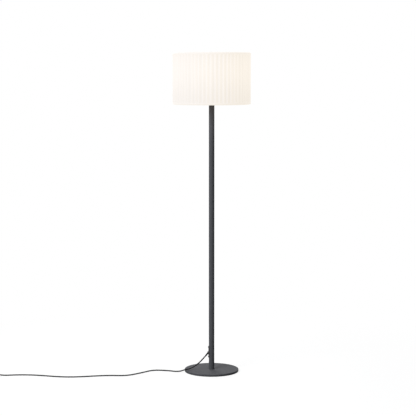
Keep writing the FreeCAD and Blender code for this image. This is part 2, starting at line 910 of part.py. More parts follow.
# ---------------------------------------------------------------- lamp
bulb_ridges = int(value("(bulb_cap_height - 7) / bulb_thread_pitch"))
cap_profile = [
    ("bulb_cap_dia / 2 - bulb_thread_depth - bulb_cap_wall", "5"),
    ("bulb_cap_dia / 2 - bulb_thread_depth - 3", "3"),
    ("bulb_cap_dia / 2 - bulb_thread_depth", "4.4"),
]
for ridge in range(bulb_ridges):
    foot = f"5 + {ridge} * bulb_thread_pitch"
    cap_profile += [
        ("bulb_cap_dia / 2 - bulb_thread_depth", foot),
        ("bulb_cap_dia / 2", f"{foot} + bulb_thread_pitch * 0.3"),
        ("bulb_cap_dia / 2", f"{foot} + bulb_thread_pitch * 0.5"),
        ("bulb_cap_dia / 2 - bulb_thread_depth", f"{foot} + bulb_thread_pitch * 0.8"),
    ]
cap_profile += [
    ("bulb_cap_dia / 2 - bulb_thread_depth", "bulb_cap_height - 1"),
    ("bulb_cap_dia / 2 + 0.3", "bulb_cap_height + 1"),
    ("bulb_cap_dia / 2 + 0.3", "bulb_cap_height + 4"),
    ("bulb_neck_dia / 2 + slip_gap", "bulb_cap_height + 4"),
    ("bulb_neck_dia / 2 + slip_gap", "bulb_cap_height"),
    ("bulb_cap_dia / 2 - bulb_thread_depth - bulb_cap_wall", "bulb_cap_height - 1"),
]
turned("bulb_cap", "bulb_tip", cap_profile)

turned(
    "bulb_insulator",
    "bulb_tip",
    [
        ("0", "1.2"),
        ("5", "1.2"),
        ("bulb_cap_dia / 2 - bulb_thread_depth - 3.4", "3"),
        ("bulb_cap_dia / 2 - bulb_thread_depth - bulb_cap_wall - 2 * slip_gap", "5.1"),
        ("0", "5.1"),
    ],
)

turned("bulb_contact", "bulb_tip", [("0", "0"), ("3.4", "0"), ("4.6", "1.15"), ("0", "1.15")])


def envelope_edges(grow):
    """Half the glass's outline: a ball above, flowing by two arcs into the neck."""
    radius = value("bulb_dia / 2") - grow
    centre = value("bulb_length - bulb_dia / 2")
    neck = value("bulb_neck_dia / 2") - grow
    foot = value("bulb_cap_height + 0.5")
    leave = math.radians(-35)
    join = Vector(radius * math.cos(leave), 0, centre + radius * math.sin(leave))
    down = Vector(math.sin(leave), 0, -math.cos(leave))
    into = Vector(0, 0, -1)
    shoulder = Vector(neck, 0, foot + 6)
    flow = biarc(join, down, shoulder, into)
    top = Vector(0, 0, centre + radius)
    turn = math.radians(30)
    crown = Vector(radius * math.cos(turn), 0, centre + radius * math.sin(turn))
    return [arc_through(top, crown, join)] + flow + [line(shoulder, Vector(neck, 0, foot))], top


outer_edges, outer_top = envelope_edges(0)
inner_edges, inner_top = envelope_edges(value("bulb_wall"))
rim_height = value("bulb_cap_height + 0.5")
glass_edges = outer_edges + inner_edges + [
    line(outer_top, inner_top),
    line(
        Vector(value("bulb_neck_dia / 2"), 0, rim_height),
        Vector(value("bulb_neck_dia / 2 - bulb_wall"), 0, rim_height),
    ),
]
formed("bulb_glass", spun(glass_edges), at=Vector(0, 0, value("bulb_tip")))

# ---------------------------------------------------------------- shade
turned(
    "shade_fitter",
    "shoulder_top",
    [
        ("fitter_bore / 2", "0"),
        ("fitter_dia / 2", "0"),
        ("fitter_dia / 2", "fitter_thick"),
        ("fitter_bore / 2", "fitter_thick"),
    ],
)

ring_nut = turned(
    "shade_ring_nut",
    "shoulder_top + fitter_thick + running_gap",
    [
        ("barrel_dia / 2 + thread_depth + running_gap", "0"),
        ("ring_nut_dia / 2", "0"),
        ("ring_nut_dia / 2", "ring_nut_height * 0.3"),
        ("ring_nut_dia / 2 - 3", "ring_nut_height * 0.3"),
        ("ring_nut_dia / 2 - 3", "ring_nut_height"),
        ("barrel_dia / 2 + thread_depth + running_gap", "ring_nut_height"),
    ],
)

hoop_levels = {
    "shade_bottom_hoop": "shade_foot + hoop_rise",
    "shade_top_hoop": "shade_top - hoop_rise",
}
for name, level in hoop_levels.items():
    keep(name, primitive("Torus", name, level, Radius1="hoop_radius", Radius2="hoop_wire / 2"))

# Each spoke runs out from the fitter ring, then bends down to the bottom hoop.
spoke_radius = value("spoke_wire / 2")
hoop = Vector(value("hoop_radius"), 0, value("shade_foot + hoop_rise"))
reach_out = value("hoop_wire / 2 + spoke_wire / 2 + layer_gap")
spoke_level = value("shoulder_top + fitter_thick / 2")
spoke_start = Vector(value("fitter_dia / 2 + layer_gap"), 0, spoke_level)
spoke_elbow = Vector(hoop.x - value("spoke_slope"), 0, spoke_level)
spoke_end = hoop + Vector(-1, 0, 0.9).normalize() * reach_out
spoke_edges, _ = rounded_route([spoke_start, spoke_elbow, spoke_end])
spokes = []
for i in range(int(value("spoke_count"))):
    spoke = swept(spoke_edges, value("spoke_wire"))
    spoke.rotate(Vector(0, 0, 0), Z_AXIS, value("spoke_first") + i * 360 / value("spoke_count"))
    spokes.append(spoke)
formed("shade_spokes", Part.makeCompound(spokes))

turned(
    "shade_liner",
    "shade_foot + liner_margin",
    [
        ("liner_inner", "0"),
        ("liner_outer", "0"),
        ("liner_outer", "shade_height - 2 * liner_margin"),
        ("liner_inner", "shade_height - 2 * liner_margin"),
    ],
)


def pleat_ring(outer_radius, level):
    """A closed zigzag of folds: every second corner lies a pleat's depth further in."""
    count = 2 * int(value("pleat_count"))
    corners = []
    for i in range(count):
        radius = outer_radius - (i % 2) * value("pleat_depth")
        angle = 2 * math.pi * i / count
        corners.append(Vector(radius * math.cos(angle), radius * math.sin(angle), level))
    return Part.makePolygon(corners + corners[:1])


skin_start = value("shade_foot + skin_margin")
skin_rise = value("shade_height - 2 * skin_margin")
skin_outside = Part.Face(pleat_ring(value("skin_outer"), skin_start))
skin_inside = Part.Face(pleat_ring(value("skin_outer - skin_thick"), skin_start))
skin_section = skin_outside.cut(skin_inside)
formed("pleated_shade", skin_section.extrude(Vector(0, 0, skin_rise)))


def rolled_trim():
    """A band folded over the shade's edge: a skirt outside, a rolled rim and a hem inside."""
    outer = value("shade_radius")
    thick = value("trim_thick")
    roll = value("trim_roll")
    hem = value("hoop_radius - hoop_wire / 2 - layer_gap")
    skirt = value("trim_height")
    inside = value("trim_inner_height")
    slant = math.sqrt(0.5)
    small = value("trim_inner_roll")

    def corner(radius, x, z, side):
        """A quarter round: its centre is (x, z), and side is +1 outwards or -1 inwards."""
        flat = Vector(x, 0, z - radius)
        tip = Vector(x + side * radius, 0, z)
        mid = Vector(x + side * radius * slant, 0, z - radius * slant)
        return arc_through(flat, mid, tip), flat, tip

    far, far_flat, far_tip = corner(roll, outer - roll, roll, 1)
    near, near_flat, near_tip = corner(small, hem - thick + small, small, -1)
    far_in, far_in_flat, far_in_tip = corner(roll - thick, outer - roll, roll, 1)
    near_in, near_in_flat, near_in_tip = corner(small - thick, hem - thick + small, small, -1)
    edges = [far, near, far_in, near_in, line(near_flat, far_flat), line(near_in_flat, far_in_flat)]
    for tip, tip_in, height in ((far_tip, far_in_tip, skirt), (near_tip, near_in_tip, inside)):
        end = Vector(tip.x, 0, height)
        end_in = Vector(tip_in.x, 0, height)
        edges += [line(tip, end), line(end, end_in), line(end_in, tip_in)]
    return spun(edges)


formed("shade_bottom_trim", rolled_trim(), at=Vector(0, 0, value("shade_foot")))
top_trim = rolled_trim().mirror(Vector(0, 0, 0), Z_AXIS)
formed("shade_top_trim", top_trim, at=Vector(0, 0, value("shade_top")))

# ---------------------------------------------------------------- cord on the floor
# The route is chosen by hand: it hangs from the gland, crosses the disc and its rim, and
# wanders over the floor to the foot switch. Heights are those of the cord's middle.
CORD_ROUTE = [
    (-71.0, -21.7, 27.4),
    (-91.5, -28.0, 15.6),
    (-112.0, -35.0, 14.6),
    (-130.0, -37.4, 12.0),
    (-149.0, -32.0, 4.4),
    (-173.0, -29.5, 3.2),
    (-200.0, -14.5, 3.2),
    (-230.0, -7.0, 3.2),
    (-262.0, -2.0, 3.2),
    (-290.0, -13.0, 3.2),
    (-320.0, -47.0, 3.2),
    (-352.0, -79.0, 3.2),
    (-384.0, -107.0, 3.2),
    (-420.0, -117.0, 3.2),
    (-472.0, -112.0, 3.2),
    (-535.0, -121.0, 3.2),
    (-600.0, -139.0, 3.2),
    (-667.0, -146.0, 3.2),
    (-733.0, -134.0, 3.2),
    (-798.0, -112.0, 3.2),
    (-862.0, -101.0, 3.2),
    (-915.0, -103.0, 3.2),
    (-950.0, -110.0, 3.2),
    (-972.0, -113.0, 3.9),
    (-988.0, -113.0, 6.0),
    (-1003.0, -113.0, 6.0),
]

azimuth = FreeCAD.Rotation(Z_AXIS, value("outlet_azimuth"))
cord_exit = azimuth.multVec(along_gland(value("gland_length")))
first_point = azimuth.multVec(along_gland(value("gland_length + cord_drop")))
cord_points = [cord_exit, first_point] + [Vector(*point) for point in CORD_ROUTE]
formed("cord_floor_run", cord_tube("cord_floor_run", cord_points, value("cord_dia")))

# ---------------------------------------------------------------- foot switch
# It lies along X. Its inlet sleeve's tip is where the cord's route ends.
inlet = cord_points[-1]
grip_out = value("grip_outside")
half_length = value("switch_length / 2")
switch_middle = Vector(inlet.x - grip_out - half_length, inlet.y, 0)
switch_x = switch_middle.x
switch_y = switch_middle.y


def housing_block(name, foot, height, inset, soft_edge, at_top):
    """A rounded box of the housing's outline, with one soft rim, as a Part::Fillet of a box."""
    box = primitive(
        "Box",
        name + "_box",
        foot,
        f"{switch_x} - switch_length / 2 + {inset}",
        f"{switch_y} - switch_width / 2 + {inset}",
        Length=f"switch_length - 2 * ({inset})",
        Width=f"switch_width - 2 * ({inset})",
        Height=height,
    )
    doc.recompute()
    upright = [
        (i, value(f"switch_corner - ({inset})"))
        for i, edge in enumerate(box.Shape.Edges, start=1)
        if abs(edge.tangentAt(edge.FirstParameter).z) > 0.5
    ]
    rounded = doc.addObject("Part::Fillet", name + "_corners")
    rounded.Base = box
    rounded.Edges = [(i, size, size) for i, size in upright]
    doc.recompute()
    if soft_edge is None:
        return rounded
    level = value(foot) + (value(height) if at_top else 0.0)
    rims = [
        i
        for i, edge in enumerate(rounded.Shape.Edges, start=1)
        if abs(edge.BoundBox.ZMin - level) < 1e-3 and abs(edge.BoundBox.ZMax - level) < 1e-3
    ]
    soft = doc.addObject("Part::Fillet", name + "_rim")
    soft.Base = rounded
    soft.Edges = [(i, value(soft_edge), value(soft_edge)) for i in rims]
    doc.recompute()
    return soft


def lengthways(name, radius, start, length, height="switch_cord_height"):
    """A cylinder along X through the switch, for its cord holes."""
    piece = doc.addObject("Part::Cylinder", name)
    piece.setExpression("Radius", formula(radius))
    piece.setExpression("Height", formula(length))
    base = Vector(switch_x + value(start), switch_y, value(height))
    piece.Placement = FreeCAD.Placement(base, FreeCAD.Rotation(Vector(0, 1, 0), 90))
    return piece


def upright(name, radius, foot, height, across="0"):
    """An upright cylinder on the switch's middle line."""
    return primitive(
        "Cylinder", name, foot, f"{switch_x} + {across}", f"{switch_y}", Radius=radius, Height=height
    )


switch_foot = "switch_foot_thick"
switch_split = "switch_split"
lower = housing_block("lower", switch_foot, "switch_split - switch_foot_thick", "0", "switch_edge / 3", False)
lower_space = housing_block(
    "lower_space", "switch_foot_thick + switch_wall", "switch_split", "switch_wall", None, False
)
grip_hole = "grip_dia / 2 + thread_gap"
cord_holes = lengthways("cord_holes", grip_hole, "0 - switch_length", "2 * switch_length")
switch_posts = []
switch_bores = []
pilot_bores = []
for sign, name in (("-", "rear"), ("+", "front")):
    across = f"(0 {sign} switch_screw_pitch / 2)"
    post_foot = "switch_foot_thick + switch_wall + slip_gap"
    post_rise = f"switch_height - ({post_foot})"
    pilot_rise = "switch_split + pilot_above"
    bore = "switch_screw_dia / 2 + slip_gap"
    switch_posts.append(upright(f"{name}_post", "switch_screw_dia", post_foot, post_rise, across))
    pilot_bores.append(upright(f"{name}_pilot", "switch_screw_dia / 2 + thread_gap", "0", pilot_rise, across))
    switch_bores.append(upright(f"{name}_screw_bore", bore, "0", "switch_height", across))
    sink = doc.addObject("Part::Cone", f"{name}_sink")
    sink.setExpression("Radius1", formula("screw_head_dia / 2 + slip_gap"))
    sink.setExpression("Radius2", formula("switch_screw_dia / 2 + slip_gap"))
    sink.setExpression("Height", formula("screw_head_thick"))
    place(sink, "switch_foot_thick", f"{switch_x} + {across}", f"{switch_y}")
    switch_bores.append(sink)
lower_tools = doc.addObject("Part::MultiFuse", "lower_tools")
lower_tools.Shapes = [lower_space, cord_holes] + switch_bores
keep("switch_base", boolean("Cut", "switch_base", lower, lower_tools))

upper_rise = "switch_height + switch_foot_thick - switch_split"
upper = housing_block("upper", switch_split, upper_rise, "0", "switch_edge", True)
upper_space = housing_block(
    "upper_space", "switch_split - 1", f"{upper_rise} - switch_wall + 1", "switch_wall", None, False
)
button_hole = upright("button_hole", "button_dia / 2 + button_gap", "0", "2 * switch_height")
upper_cord_holes = lengthways("upper_cord_holes", grip_hole, "0 - switch_length", "2 * switch_length")
upper_tools = doc.addObject("Part::MultiFuse", "upper_tools")
upper_tools.Shapes = [upper_space, button_hole, upper_cord_holes]
upper_shell = doc.addObject("Part::MultiFuse", "upper_shell")
upper_shell.Shapes = [boolean("Cut", "upper_hollow", upper, upper_tools)] + switch_posts
pilots = doc.addObject("Part::MultiFuse", "pilots")
pilots.Shapes = pilot_bores
keep("switch_cover", boolean("Cut", "switch_cover", upper_shell, pilots))

feet = []
for along in (-1, 1):
    for across in (-1, 1):
        feet.append(
            Part.makeCylinder(
                value("switch_foot_dia / 2"),
                value("switch_foot_thick"),
                Vector(
                    switch_x + along * (half_length - value("switch_foot_dia")),
                    switch_y + across * value("switch_width / 2 - switch_foot_dia"),
                    0,
                ),
            )
        )
formed("switch_feet", Part.makeCompound(feet))

grips = []
for side in (-1, 1):
    sleeve = tapered_sleeve(
        value("grip_dia / 2"),
        value("grip_tip_dia / 2"),
        value("grip_inside + grip_outside"),
        value("grip_inside") + 1,
    )
    start = Vector(
        switch_x + side * (half_length - value("grip_inside")), switch_y, value("switch_cord_height")
    )
    grips.append(aimed(sleeve, start, Vector(side, 0, 0)))
formed("switch_cord_grips", Part.makeCompound(grips))

mechanism_foot = value("switch_foot_thick + switch_wall")
mechanism_top = mechanism_foot + value("mechanism_height")
mechanism_size = [value(f"mechanism_{side}") for side in ("length", "width", "height")]
mechanism_corner = Vector(
    switch_x - mechanism_size[0] / 2, switch_y - mechanism_size[1] / 2, mechanism_foot
)
mechanism = Part.makeBox(*mechanism_size, mechanism_corner)
formed("switch_mechanism", mechanism)

switch_top = value("switch_height + switch_foot_thick")
button_foot = switch_top - value("switch_wall + button_gap + button_flange")
skirt = value("button_dia / 2")
flange = skirt + value("button_edge")
flange_top = button_foot + value("button_flange")
crown = switch_top + value("button_rise")
edge_middle = Vector(skirt - value("button_edge"), 0, crown - value("button_edge"))
edge_reach = value("button_edge") * math.sqrt(0.5)
button_edges = [
    line(Vector(0, 0, button_foot), Vector(flange, 0, button_foot)),
    line(Vector(flange, 0, button_foot), Vector(flange, 0, flange_top)),
    line(Vector(flange, 0, flange_top), Vector(skirt, 0, flange_top)),
    line(Vector(skirt, 0, flange_top), Vector(skirt, 0, edge_middle.z)),
    arc_through(
        Vector(skirt, 0, edge_middle.z),
        edge_middle + Vector(edge_reach, 0, edge_reach),
        Vector(edge_middle.x, 0, crown),
    ),
    line(Vector(edge_middle.x, 0, crown), Vector(0, 0, crown)),
    line(Vector(0, 0, crown), Vector(0, 0, button_foot)),
]
formed("switch_button", spun(button_edges), at=Vector(switch_x, switch_y, 0))

spring_rise = button_foot - mechanism_top - 2 * value("slip_gap") - value("spring_wire")
spring_middle = Vector(switch_x, switch_y, mechanism_top + value("slip_gap") + value("spring_wire / 2"))


def spring_place(u):
    """A helix about the button's axis, after u turns."""
    angle = 2 * math.pi * u
    radius = value("(spring_dia - spring_wire) / 2")
    rise = spring_rise * u / value("spring_turns")
    return spring_middle + Vector(radius * math.cos(angle), radius * math.sin(angle), rise)


spring_edges, _ = wound(spring_place, value("spring_turns"))
formed("switch_spring", swept(spring_edges, value("spring_wire")))

screws = []
for side in (-1, 1):
    x = switch_x + side * value("switch_screw_pitch / 2")
    foot = Vector(x, switch_y, value("switch_foot_thick"))
    radius = value("switch_screw_dia / 2")
    head = Part.makeCone(value("screw_head_dia / 2"), radius, value("screw_head_thick"), foot)
    shank = Part.makeCylinder(radius, value("switch_split + screw_bite"), foot)
    screws.append(head.fuse(shank).removeSplitter())
formed("switch_screws", Part.makeCompound(screws))

# ---------------------------------------------------------------- link, coil and tie
outlet = Vector(switch_x - half_length - grip_out, switch_y, value("switch_cord_height"))
LINK_STEPS = (12.0, 26.0, 39.0)
coil_start_height = value("coil_lift")
link_points = [
    outlet,
    outlet - Vector(LINK_STEPS[0], 0, 0),
    Vector(outlet.x - LINK_STEPS[1], outlet.y, coil_start_height),
    Vector(outlet.x - LINK_STEPS[2], outlet.y, coil_start_height),
]
formed("cord_link", cord_tube("cord_link", link_points, value("cord_dia")))

# The coil winds inwards on the floor, climbs a layer in the half turn where it reverses,
# and winds outwards again on top. Angles run clockwise from its side nearest the viewer.
TURNS_IN = 1.5
TURNS_BACK = 0.5
TURNS_OUT = 1.25
coil_radius = value("coil_outer / 2")
coil_pitch = value("coil_turn")


def lean_at(radius):
    """The angle between the spiral's path and a circle's, at a radius."""
    return math.atan2(coil_pitch, 2 * math.pi * radius)


start_turn = -math.pi / 2 + lean_at(coil_radius)
end_radius = coil_radius - coil_pitch * (TURNS_IN - TURNS_OUT)
all_turns = TURNS_IN + TURNS_BACK + TURNS_OUT + (lean_at(coil_radius) + lean_at(end_radius)) / (2 * math.pi)
straight_end = value("cord_dia")
coil_begin = link_points[-1] - Vector(straight_end, 0, 0)
coil_middle = coil_begin - Vector(math.cos(start_turn), math.sin(start_turn), 0) * coil_radius


def coil_place(u):
    """A place on the coil after u turns."""
    back = u - TURNS_IN
    if back <= 0:
        radius = coil_radius - coil_pitch * u
        climb = 0.0
    elif back <= TURNS_BACK:
        share = back / TURNS_BACK
        radius = coil_radius - coil_pitch * (TURNS_IN + back * (1 - share))
        climb = share * share * (3 - 2 * share)
    else:
        radius = coil_radius - coil_pitch * (TURNS_IN - (back - TURNS_BACK))
        climb = 1.0
    angle = start_turn - 2 * math.pi * u
    rise = value("coil_layer") * climb
    return coil_middle + Vector(radius * math.cos(angle), radius * math.sin(angle), rise)


# The last turn stops where its path points along +Y.
coil_edges, coil_stops = wound(coil_place, all_turns)
coil_end, coil_end_way = coil_stops[-1]
coil_path = (
    [line(coil_begin + Vector(straight_end, 0, 0), coil_begin)]
    + coil_edges
    + [line(coil_end, coil_end + coil_end_way * straight_end)]
)
print(f"coil: {sum(edge.Length for edge in coil_path):.1f} mm long, "
      f"least gap to itself {self_gap(coil_path, value('cord_dia')):.2f} mm")
formed("cord_coil", swept(coil_path, value("cord_dia")))

# The tie is a band round the coil's strands, near its side away from the switch.
TIE_AT = 0.19
tie_turn = start_turn - 2 * math.pi * TIE_AT
tie_out = Vector(math.cos(tie_turn), math.sin(tie_turn), 0)
tie_clear = value("cord_dia / 2 + tie_gap")
tie_low = -(tie_clear)
tie_high = value("coil_layer") + tie_clear
tie_near = coil_radius - coil_pitch * (TIE_AT + 1.13) - tie_clear
tie_far = coil_radius - coil_pitch * (TIE_AT - 0.02) + tie_clear
tie_thick = value("tie_thick")


def tie_loop(grow, width):
    """The tie's inner or outer outline as a block with rounded corners, along Y."""
    corner = value("tie_corner") + grow
    loop = Part.makeBox(
        tie_far - tie_near + 2 * grow,
        width,
        tie_high - tie_low + 2 * grow,
        Vector(tie_near - grow, -width / 2, tie_low - grow),
    )
    lengthwise = [edge for edge in loop.Edges if abs(edge.tangentAt(edge.FirstParameter).y) > 0.5]
    return loop.makeFillet(corner, lengthwise)


tie = tie_loop(tie_thick, value("tie_width")).cut(tie_loop(0, 2 * value("tie_width")))
formed(
    "cord_tie",
    tie,
    at=Vector(coil_middle.x, coil_middle.y, coil_start_height),
    turn=math.degrees(tie_turn),
)

# ---------------------------------------------------------------- plug
tail_start = coil_end + coil_end_way * straight_end
plug_height = value("plug_thick / 2")
TAIL_STEPS = (24.0, 43.0, 62.0)
level_way = Vector(coil_end_way.x, coil_end_way.y, 0).normalize()
tail_points = [
    tail_start,
    tail_start + level_way * TAIL_STEPS[0],
    tail_start + level_way * TAIL_STEPS[1],
    tail_start + level_way * TAIL_STEPS[2],
]
for point in tail_points[2:]:
    point.z = plug_height
formed("cord_tail", cord_tube("cord_tail", tail_points, value("cord_dia")))

plug_tip = tail_points[-1]
plug_turn = math.degrees(math.atan2(level_way.y, level_way.x)) - 90
relief_length = value("plug_relief_length")
relief = tapered_sleeve(
    value("plug_relief_dia / 2"), value("plug_relief_tip_dia / 2"), relief_length, relief_length * 0.15
)
relief.rotate(Vector(0, 0, 0), Vector(1, 0, 0), 90)
relief.translate(Vector(0, relief_length, 0))
formed("plug_relief", relief, at=plug_tip, turn=plug_turn)


def plug_section(width, thick, y):
    """A flat section with round ends, across the plug."""
    corner = thick / 2
    half = width / 2 - corner
    top = Vector(half, y, corner)
    right = Vector(half + corner, y, 0)
    bottom = Vector(half, y, -corner)
    left = Vector(-half - corner, y, 0)
    edges = [
        line(Vector(-half, y, corner), top),
        arc_through(top, right, bottom),
        line(bottom, Vector(-half, y, -corner)),
        arc_through(Vector(-half, y, -corner), left, Vector(-half, y, corner)),
    ]
    return Part.Wire(edges)


plug_front = relief_length + value("plug_length")
plug_sections = [
    plug_section(value("plug_back_width"), value("plug_back_thick"), relief_length),
    plug_section(value("plug_width"), value("plug_thick"), relief_length + value("plug_length / 2")),
    plug_section(value("plug_width"), value("plug_thick"), plug_front),
]
formed("plug_body", Part.makeLoft(plug_sections, True, True), at=plug_tip, turn=plug_turn)

pins = []
sleeves = []
out_of_plug = Vector(0, 1, 0)
pin_radius = value("pin_dia / 2")
core_radius = value("pin_dia / 2 - sleeve_wall")
sleeve_length = value("sleeve_length")
bare_length = value("pin_length") - sleeve_length
for side in (-1, 1):
    foot = Vector(side * value("pin_spacing / 2"), plug_front, 0)
    collar = foot + out_of_plug * sleeve_length
    bare = Part.makeCylinder(pin_radius, bare_length, collar, out_of_plug)
    tip = [edge for edge in bare.Edges if edge.BoundBox.YMin > collar.y + bare_length / 2]
    core = Part.makeCylinder(core_radius, sleeve_length, foot, out_of_plug)
    pins.append(bare.makeFillet(pin_radius / 2, tip).fuse(core))
    sleeve = Part.makeCylinder(value("sleeve_dia / 2"), sleeve_length, foot, out_of_plug)
    hollow = Part.makeCylinder(core_radius + value("press_gap"), sleeve_length, foot, out_of_plug)
    sleeves.append(sleeve.cut(hollow))
formed("plug_pins", Part.makeCompound(pins), at=plug_tip, turn=plug_turn)
formed("plug_pin_sleeves", Part.makeCompound(sleeves), at=plug_tip, turn=plug_turn)

# ---------------------------------------------------------------- checks and files
doc.recompute()
failed = [item.Name for item in doc.Objects if {"Invalid", "Error"} & set(item.State)]
if failed:
    raise RuntimeError(f"objects that failed: {failed}")
for label, piece in nodes.items():
    if piece.Shape.isNull() or not piece.Shape.isValid() or not piece.Shape.Solids:
        raise RuntimeError(f"{label} has no valid solid")
    if piece.Shape.Volume <= 0:
        raise RuntimeError(f"{label} is inside out")

os.makedirs("parts", exist_ok=True)
for label, piece in nodes.items():
    piece.Shape.exportStep(f"parts/{label}.step")
print(f"{len(nodes)} sub-parts")
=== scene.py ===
# %% [markdown]
# # A pleated floor lamp, lit
#
# The real lamp is a slim round post on a flat steel disc. At its top a drum shade of pleated
# paper hangs round a frosted bulb, and near its foot a black mains cord comes out through a
# small cover and wanders off over the floor. The engineered model is loaded first, as a
# fixed frame. Turned and moulded pieces are exact there already and only need a finish, so
# Blender's own work goes into what an engineer leaves plain: folded paper, cloth tape, a cord
# that lies as it fell, and the light.

# %% Load the engineered lamp
import json
import math

import bpy
import numpy as np
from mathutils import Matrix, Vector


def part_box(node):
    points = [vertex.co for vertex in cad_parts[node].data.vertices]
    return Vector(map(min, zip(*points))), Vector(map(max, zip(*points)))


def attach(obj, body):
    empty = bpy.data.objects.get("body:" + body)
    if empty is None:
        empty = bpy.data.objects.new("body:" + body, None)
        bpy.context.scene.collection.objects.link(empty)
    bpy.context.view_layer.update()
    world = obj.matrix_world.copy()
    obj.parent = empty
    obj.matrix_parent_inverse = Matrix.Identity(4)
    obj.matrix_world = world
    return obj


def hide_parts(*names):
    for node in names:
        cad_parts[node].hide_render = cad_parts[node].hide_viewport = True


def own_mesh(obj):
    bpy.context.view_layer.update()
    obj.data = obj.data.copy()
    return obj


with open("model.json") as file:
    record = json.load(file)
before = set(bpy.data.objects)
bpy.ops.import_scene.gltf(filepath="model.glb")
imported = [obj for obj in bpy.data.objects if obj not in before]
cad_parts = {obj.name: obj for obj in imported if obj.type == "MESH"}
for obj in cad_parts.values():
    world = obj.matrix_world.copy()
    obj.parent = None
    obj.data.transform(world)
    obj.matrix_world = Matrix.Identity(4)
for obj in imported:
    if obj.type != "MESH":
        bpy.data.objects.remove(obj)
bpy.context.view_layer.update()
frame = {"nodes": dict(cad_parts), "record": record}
scene = bpy.context.scene
scene.view_settings.view_transform = "Standard"
MM = 0.001

# %% [markdown]
# ## The camera
#
# The photograph was taken from some way off with a long lens, at about the height of the
# shade, looking slightly down. The place and the angle come from the flat ellipses of the
# base and of the shade's rims: how far each one opens tells how steeply it is seen. The
# picture is square, so one focal length in picture widths fixes the lens.

# %% Camera
CAMERA_AT = (0.0, -6.125, 1.409)
LOOK_DOWN = math.radians(5.899)
LOOK_LEFT = math.radians(0.158)
FOCAL_WIDTHS = 1314.3 / 416

camera_data = bpy.data.cameras.new("camera")
camera_data.sensor_width = 36
camera_data.lens = 36 * FOCAL_WIDTHS
camera_data.clip_end = 100
camera = bpy.data.objects.new("camera", camera_data)
camera.location = CAMERA_AT
camera.rotation_euler = (math.pi / 2 - LOOK_DOWN, 0, LOOK_LEFT)
scene.collection.objects.link(camera)
scene.camera = camera
print("lens", round(camera_data.lens, 1), "mm")

# %% [markdown]
# ## Shader nodes in few words
#
# Every finish below is a Principled shader with a little grain in its colour, its gloss and
# its relief, because no real surface is one flat colour. A few helpers keep that short. One
# adds a node and fills its inputs by name, joining an input where it is given another node's
# output. Two do arithmetic on such outputs: a single operation, and a smooth step from one
# number to another. Another starts a finish and sets whatever is the same all over on the
# shader itself.


# %% Finish helpers
def feed(material, socket, given):
    """Give a socket a plain value, or join it to the output socket that is given."""
    if isinstance(given, bpy.types.NodeSocket):
        material.node_tree.links.new(given, socket)
    else:
        socket.default_value = given


def node(material, kind, settings=None, **inputs):
    """Add a shader node; an input is a plain value, or an output socket that is joined to it."""
    made = material.node_tree.nodes.new("ShaderNode" + kind)
    for key, setting in (settings or {}).items():
        setattr(made, key, setting)
    for key, given in inputs.items():
        feed(material, made.inputs[key.replace("_", " ")], given)
    return made


def maths(material, operation, *numbers):
    """One step of arithmetic in a material, on plain numbers or on output sockets."""
    made = node(material, "Math", {"operation": operation})
    for socket, given in zip(made.inputs, numbers):
        feed(material, socket, given)
    return made.outputs[0]


def smooth_step(material, value, start, end, first, last):
    """An S-shaped step: first where the value is start or less, last where it is end or more."""
    smooth = {"interpolation_type": "SMOOTHSTEP"}
    ends = {"From_Min": start, "From_Max": end, "To_Min": first, "To_Max": last}
    return node(material, "MapRange", smooth, Value=value, **ends).outputs["Result"]


def finish(name, colour, roughness, **sockets):
    """Start a Principled material with a colour, a roughness and any other plain sockets."""
    material = bpy.data.materials.new(name)
    material.use_nodes = True
    shader = material.node_tree.nodes["Principled BSDF"]
    shader.inputs["Base Color"].default_value = (*colour, 1)
    shader.inputs["Roughness"].default_value = roughness
    for key, given in sockets.items():
        shader.inputs[key.replace("_", " ")].default_value = given
    return material


def join(material, socket, output):
    """Feed one of the Principled shader's sockets from a node's output."""
    feed(material, material.node_tree.nodes["Principled BSDF"].inputs[socket], output)


def grain(material, size, shades, rough, relief):
    """Give a finish its grain: noise of one size sways colour, roughness and height together.

    size is the width of a grain in metres, shades the darkest and lightest colour, rough the
    least and most roughness, and relief the grain's height in metres.
    """
    place = node(material, "TexCoord").outputs["Object"]
    noise = node(material, "TexNoise", Vector=place, Scale=1 / size, Detail=3.0)
    height = noise.outputs["Fac"]
    dark, light = shades
    mix = node(material, "MixRGB", Fac=height, Color1=(*dark, 1), Color2=(*light, 1))
    join(material, "Base Color", mix.outputs["Color"])
    gloss = node(material, "MapRange", Value=height, To_Min=rough[0], To_Max=rough[1])
    join(material, "Roughness", gloss.outputs["Result"])
    bump = node(material, "Bump", Height=height, Strength=1.0, Distance=relief)
    join(material, "Normal", bump.outputs["Normal"])
    return material


def shades(colour, spread):
    """A colour a little darker and a little lighter, for a grain to run between."""
    colour = np.array(colour)
    return tuple(colour * (1 - spread)), tuple(np.minimum(colour * (1 + spread), 1))


def grained(name, colour, roughness, size, spread, relief, sway=0.06, **sockets):
    """A finish with an even grain: colour x (1 -+ spread) and roughness -+ sway."""
    material = finish(name, colour, roughness, **sockets)
    rough = (max(roughness - sway, 0.02), min(roughness + sway, 1.0))
    return grain(material, size, shades(colour, spread), rough, relief)


# %% [markdown]
# ## The finishes
#
# The post and the disc wear a graphite powder coat: fine grains of paint that melted into a
# satin skin with a faint orange peel. Mouldings have a spark-eroded texture, which is finer
# and duller. Bare metal gets its gloss from the metallic setting. The names are the slots of
# the engineered model, so that one loop can dress every node.

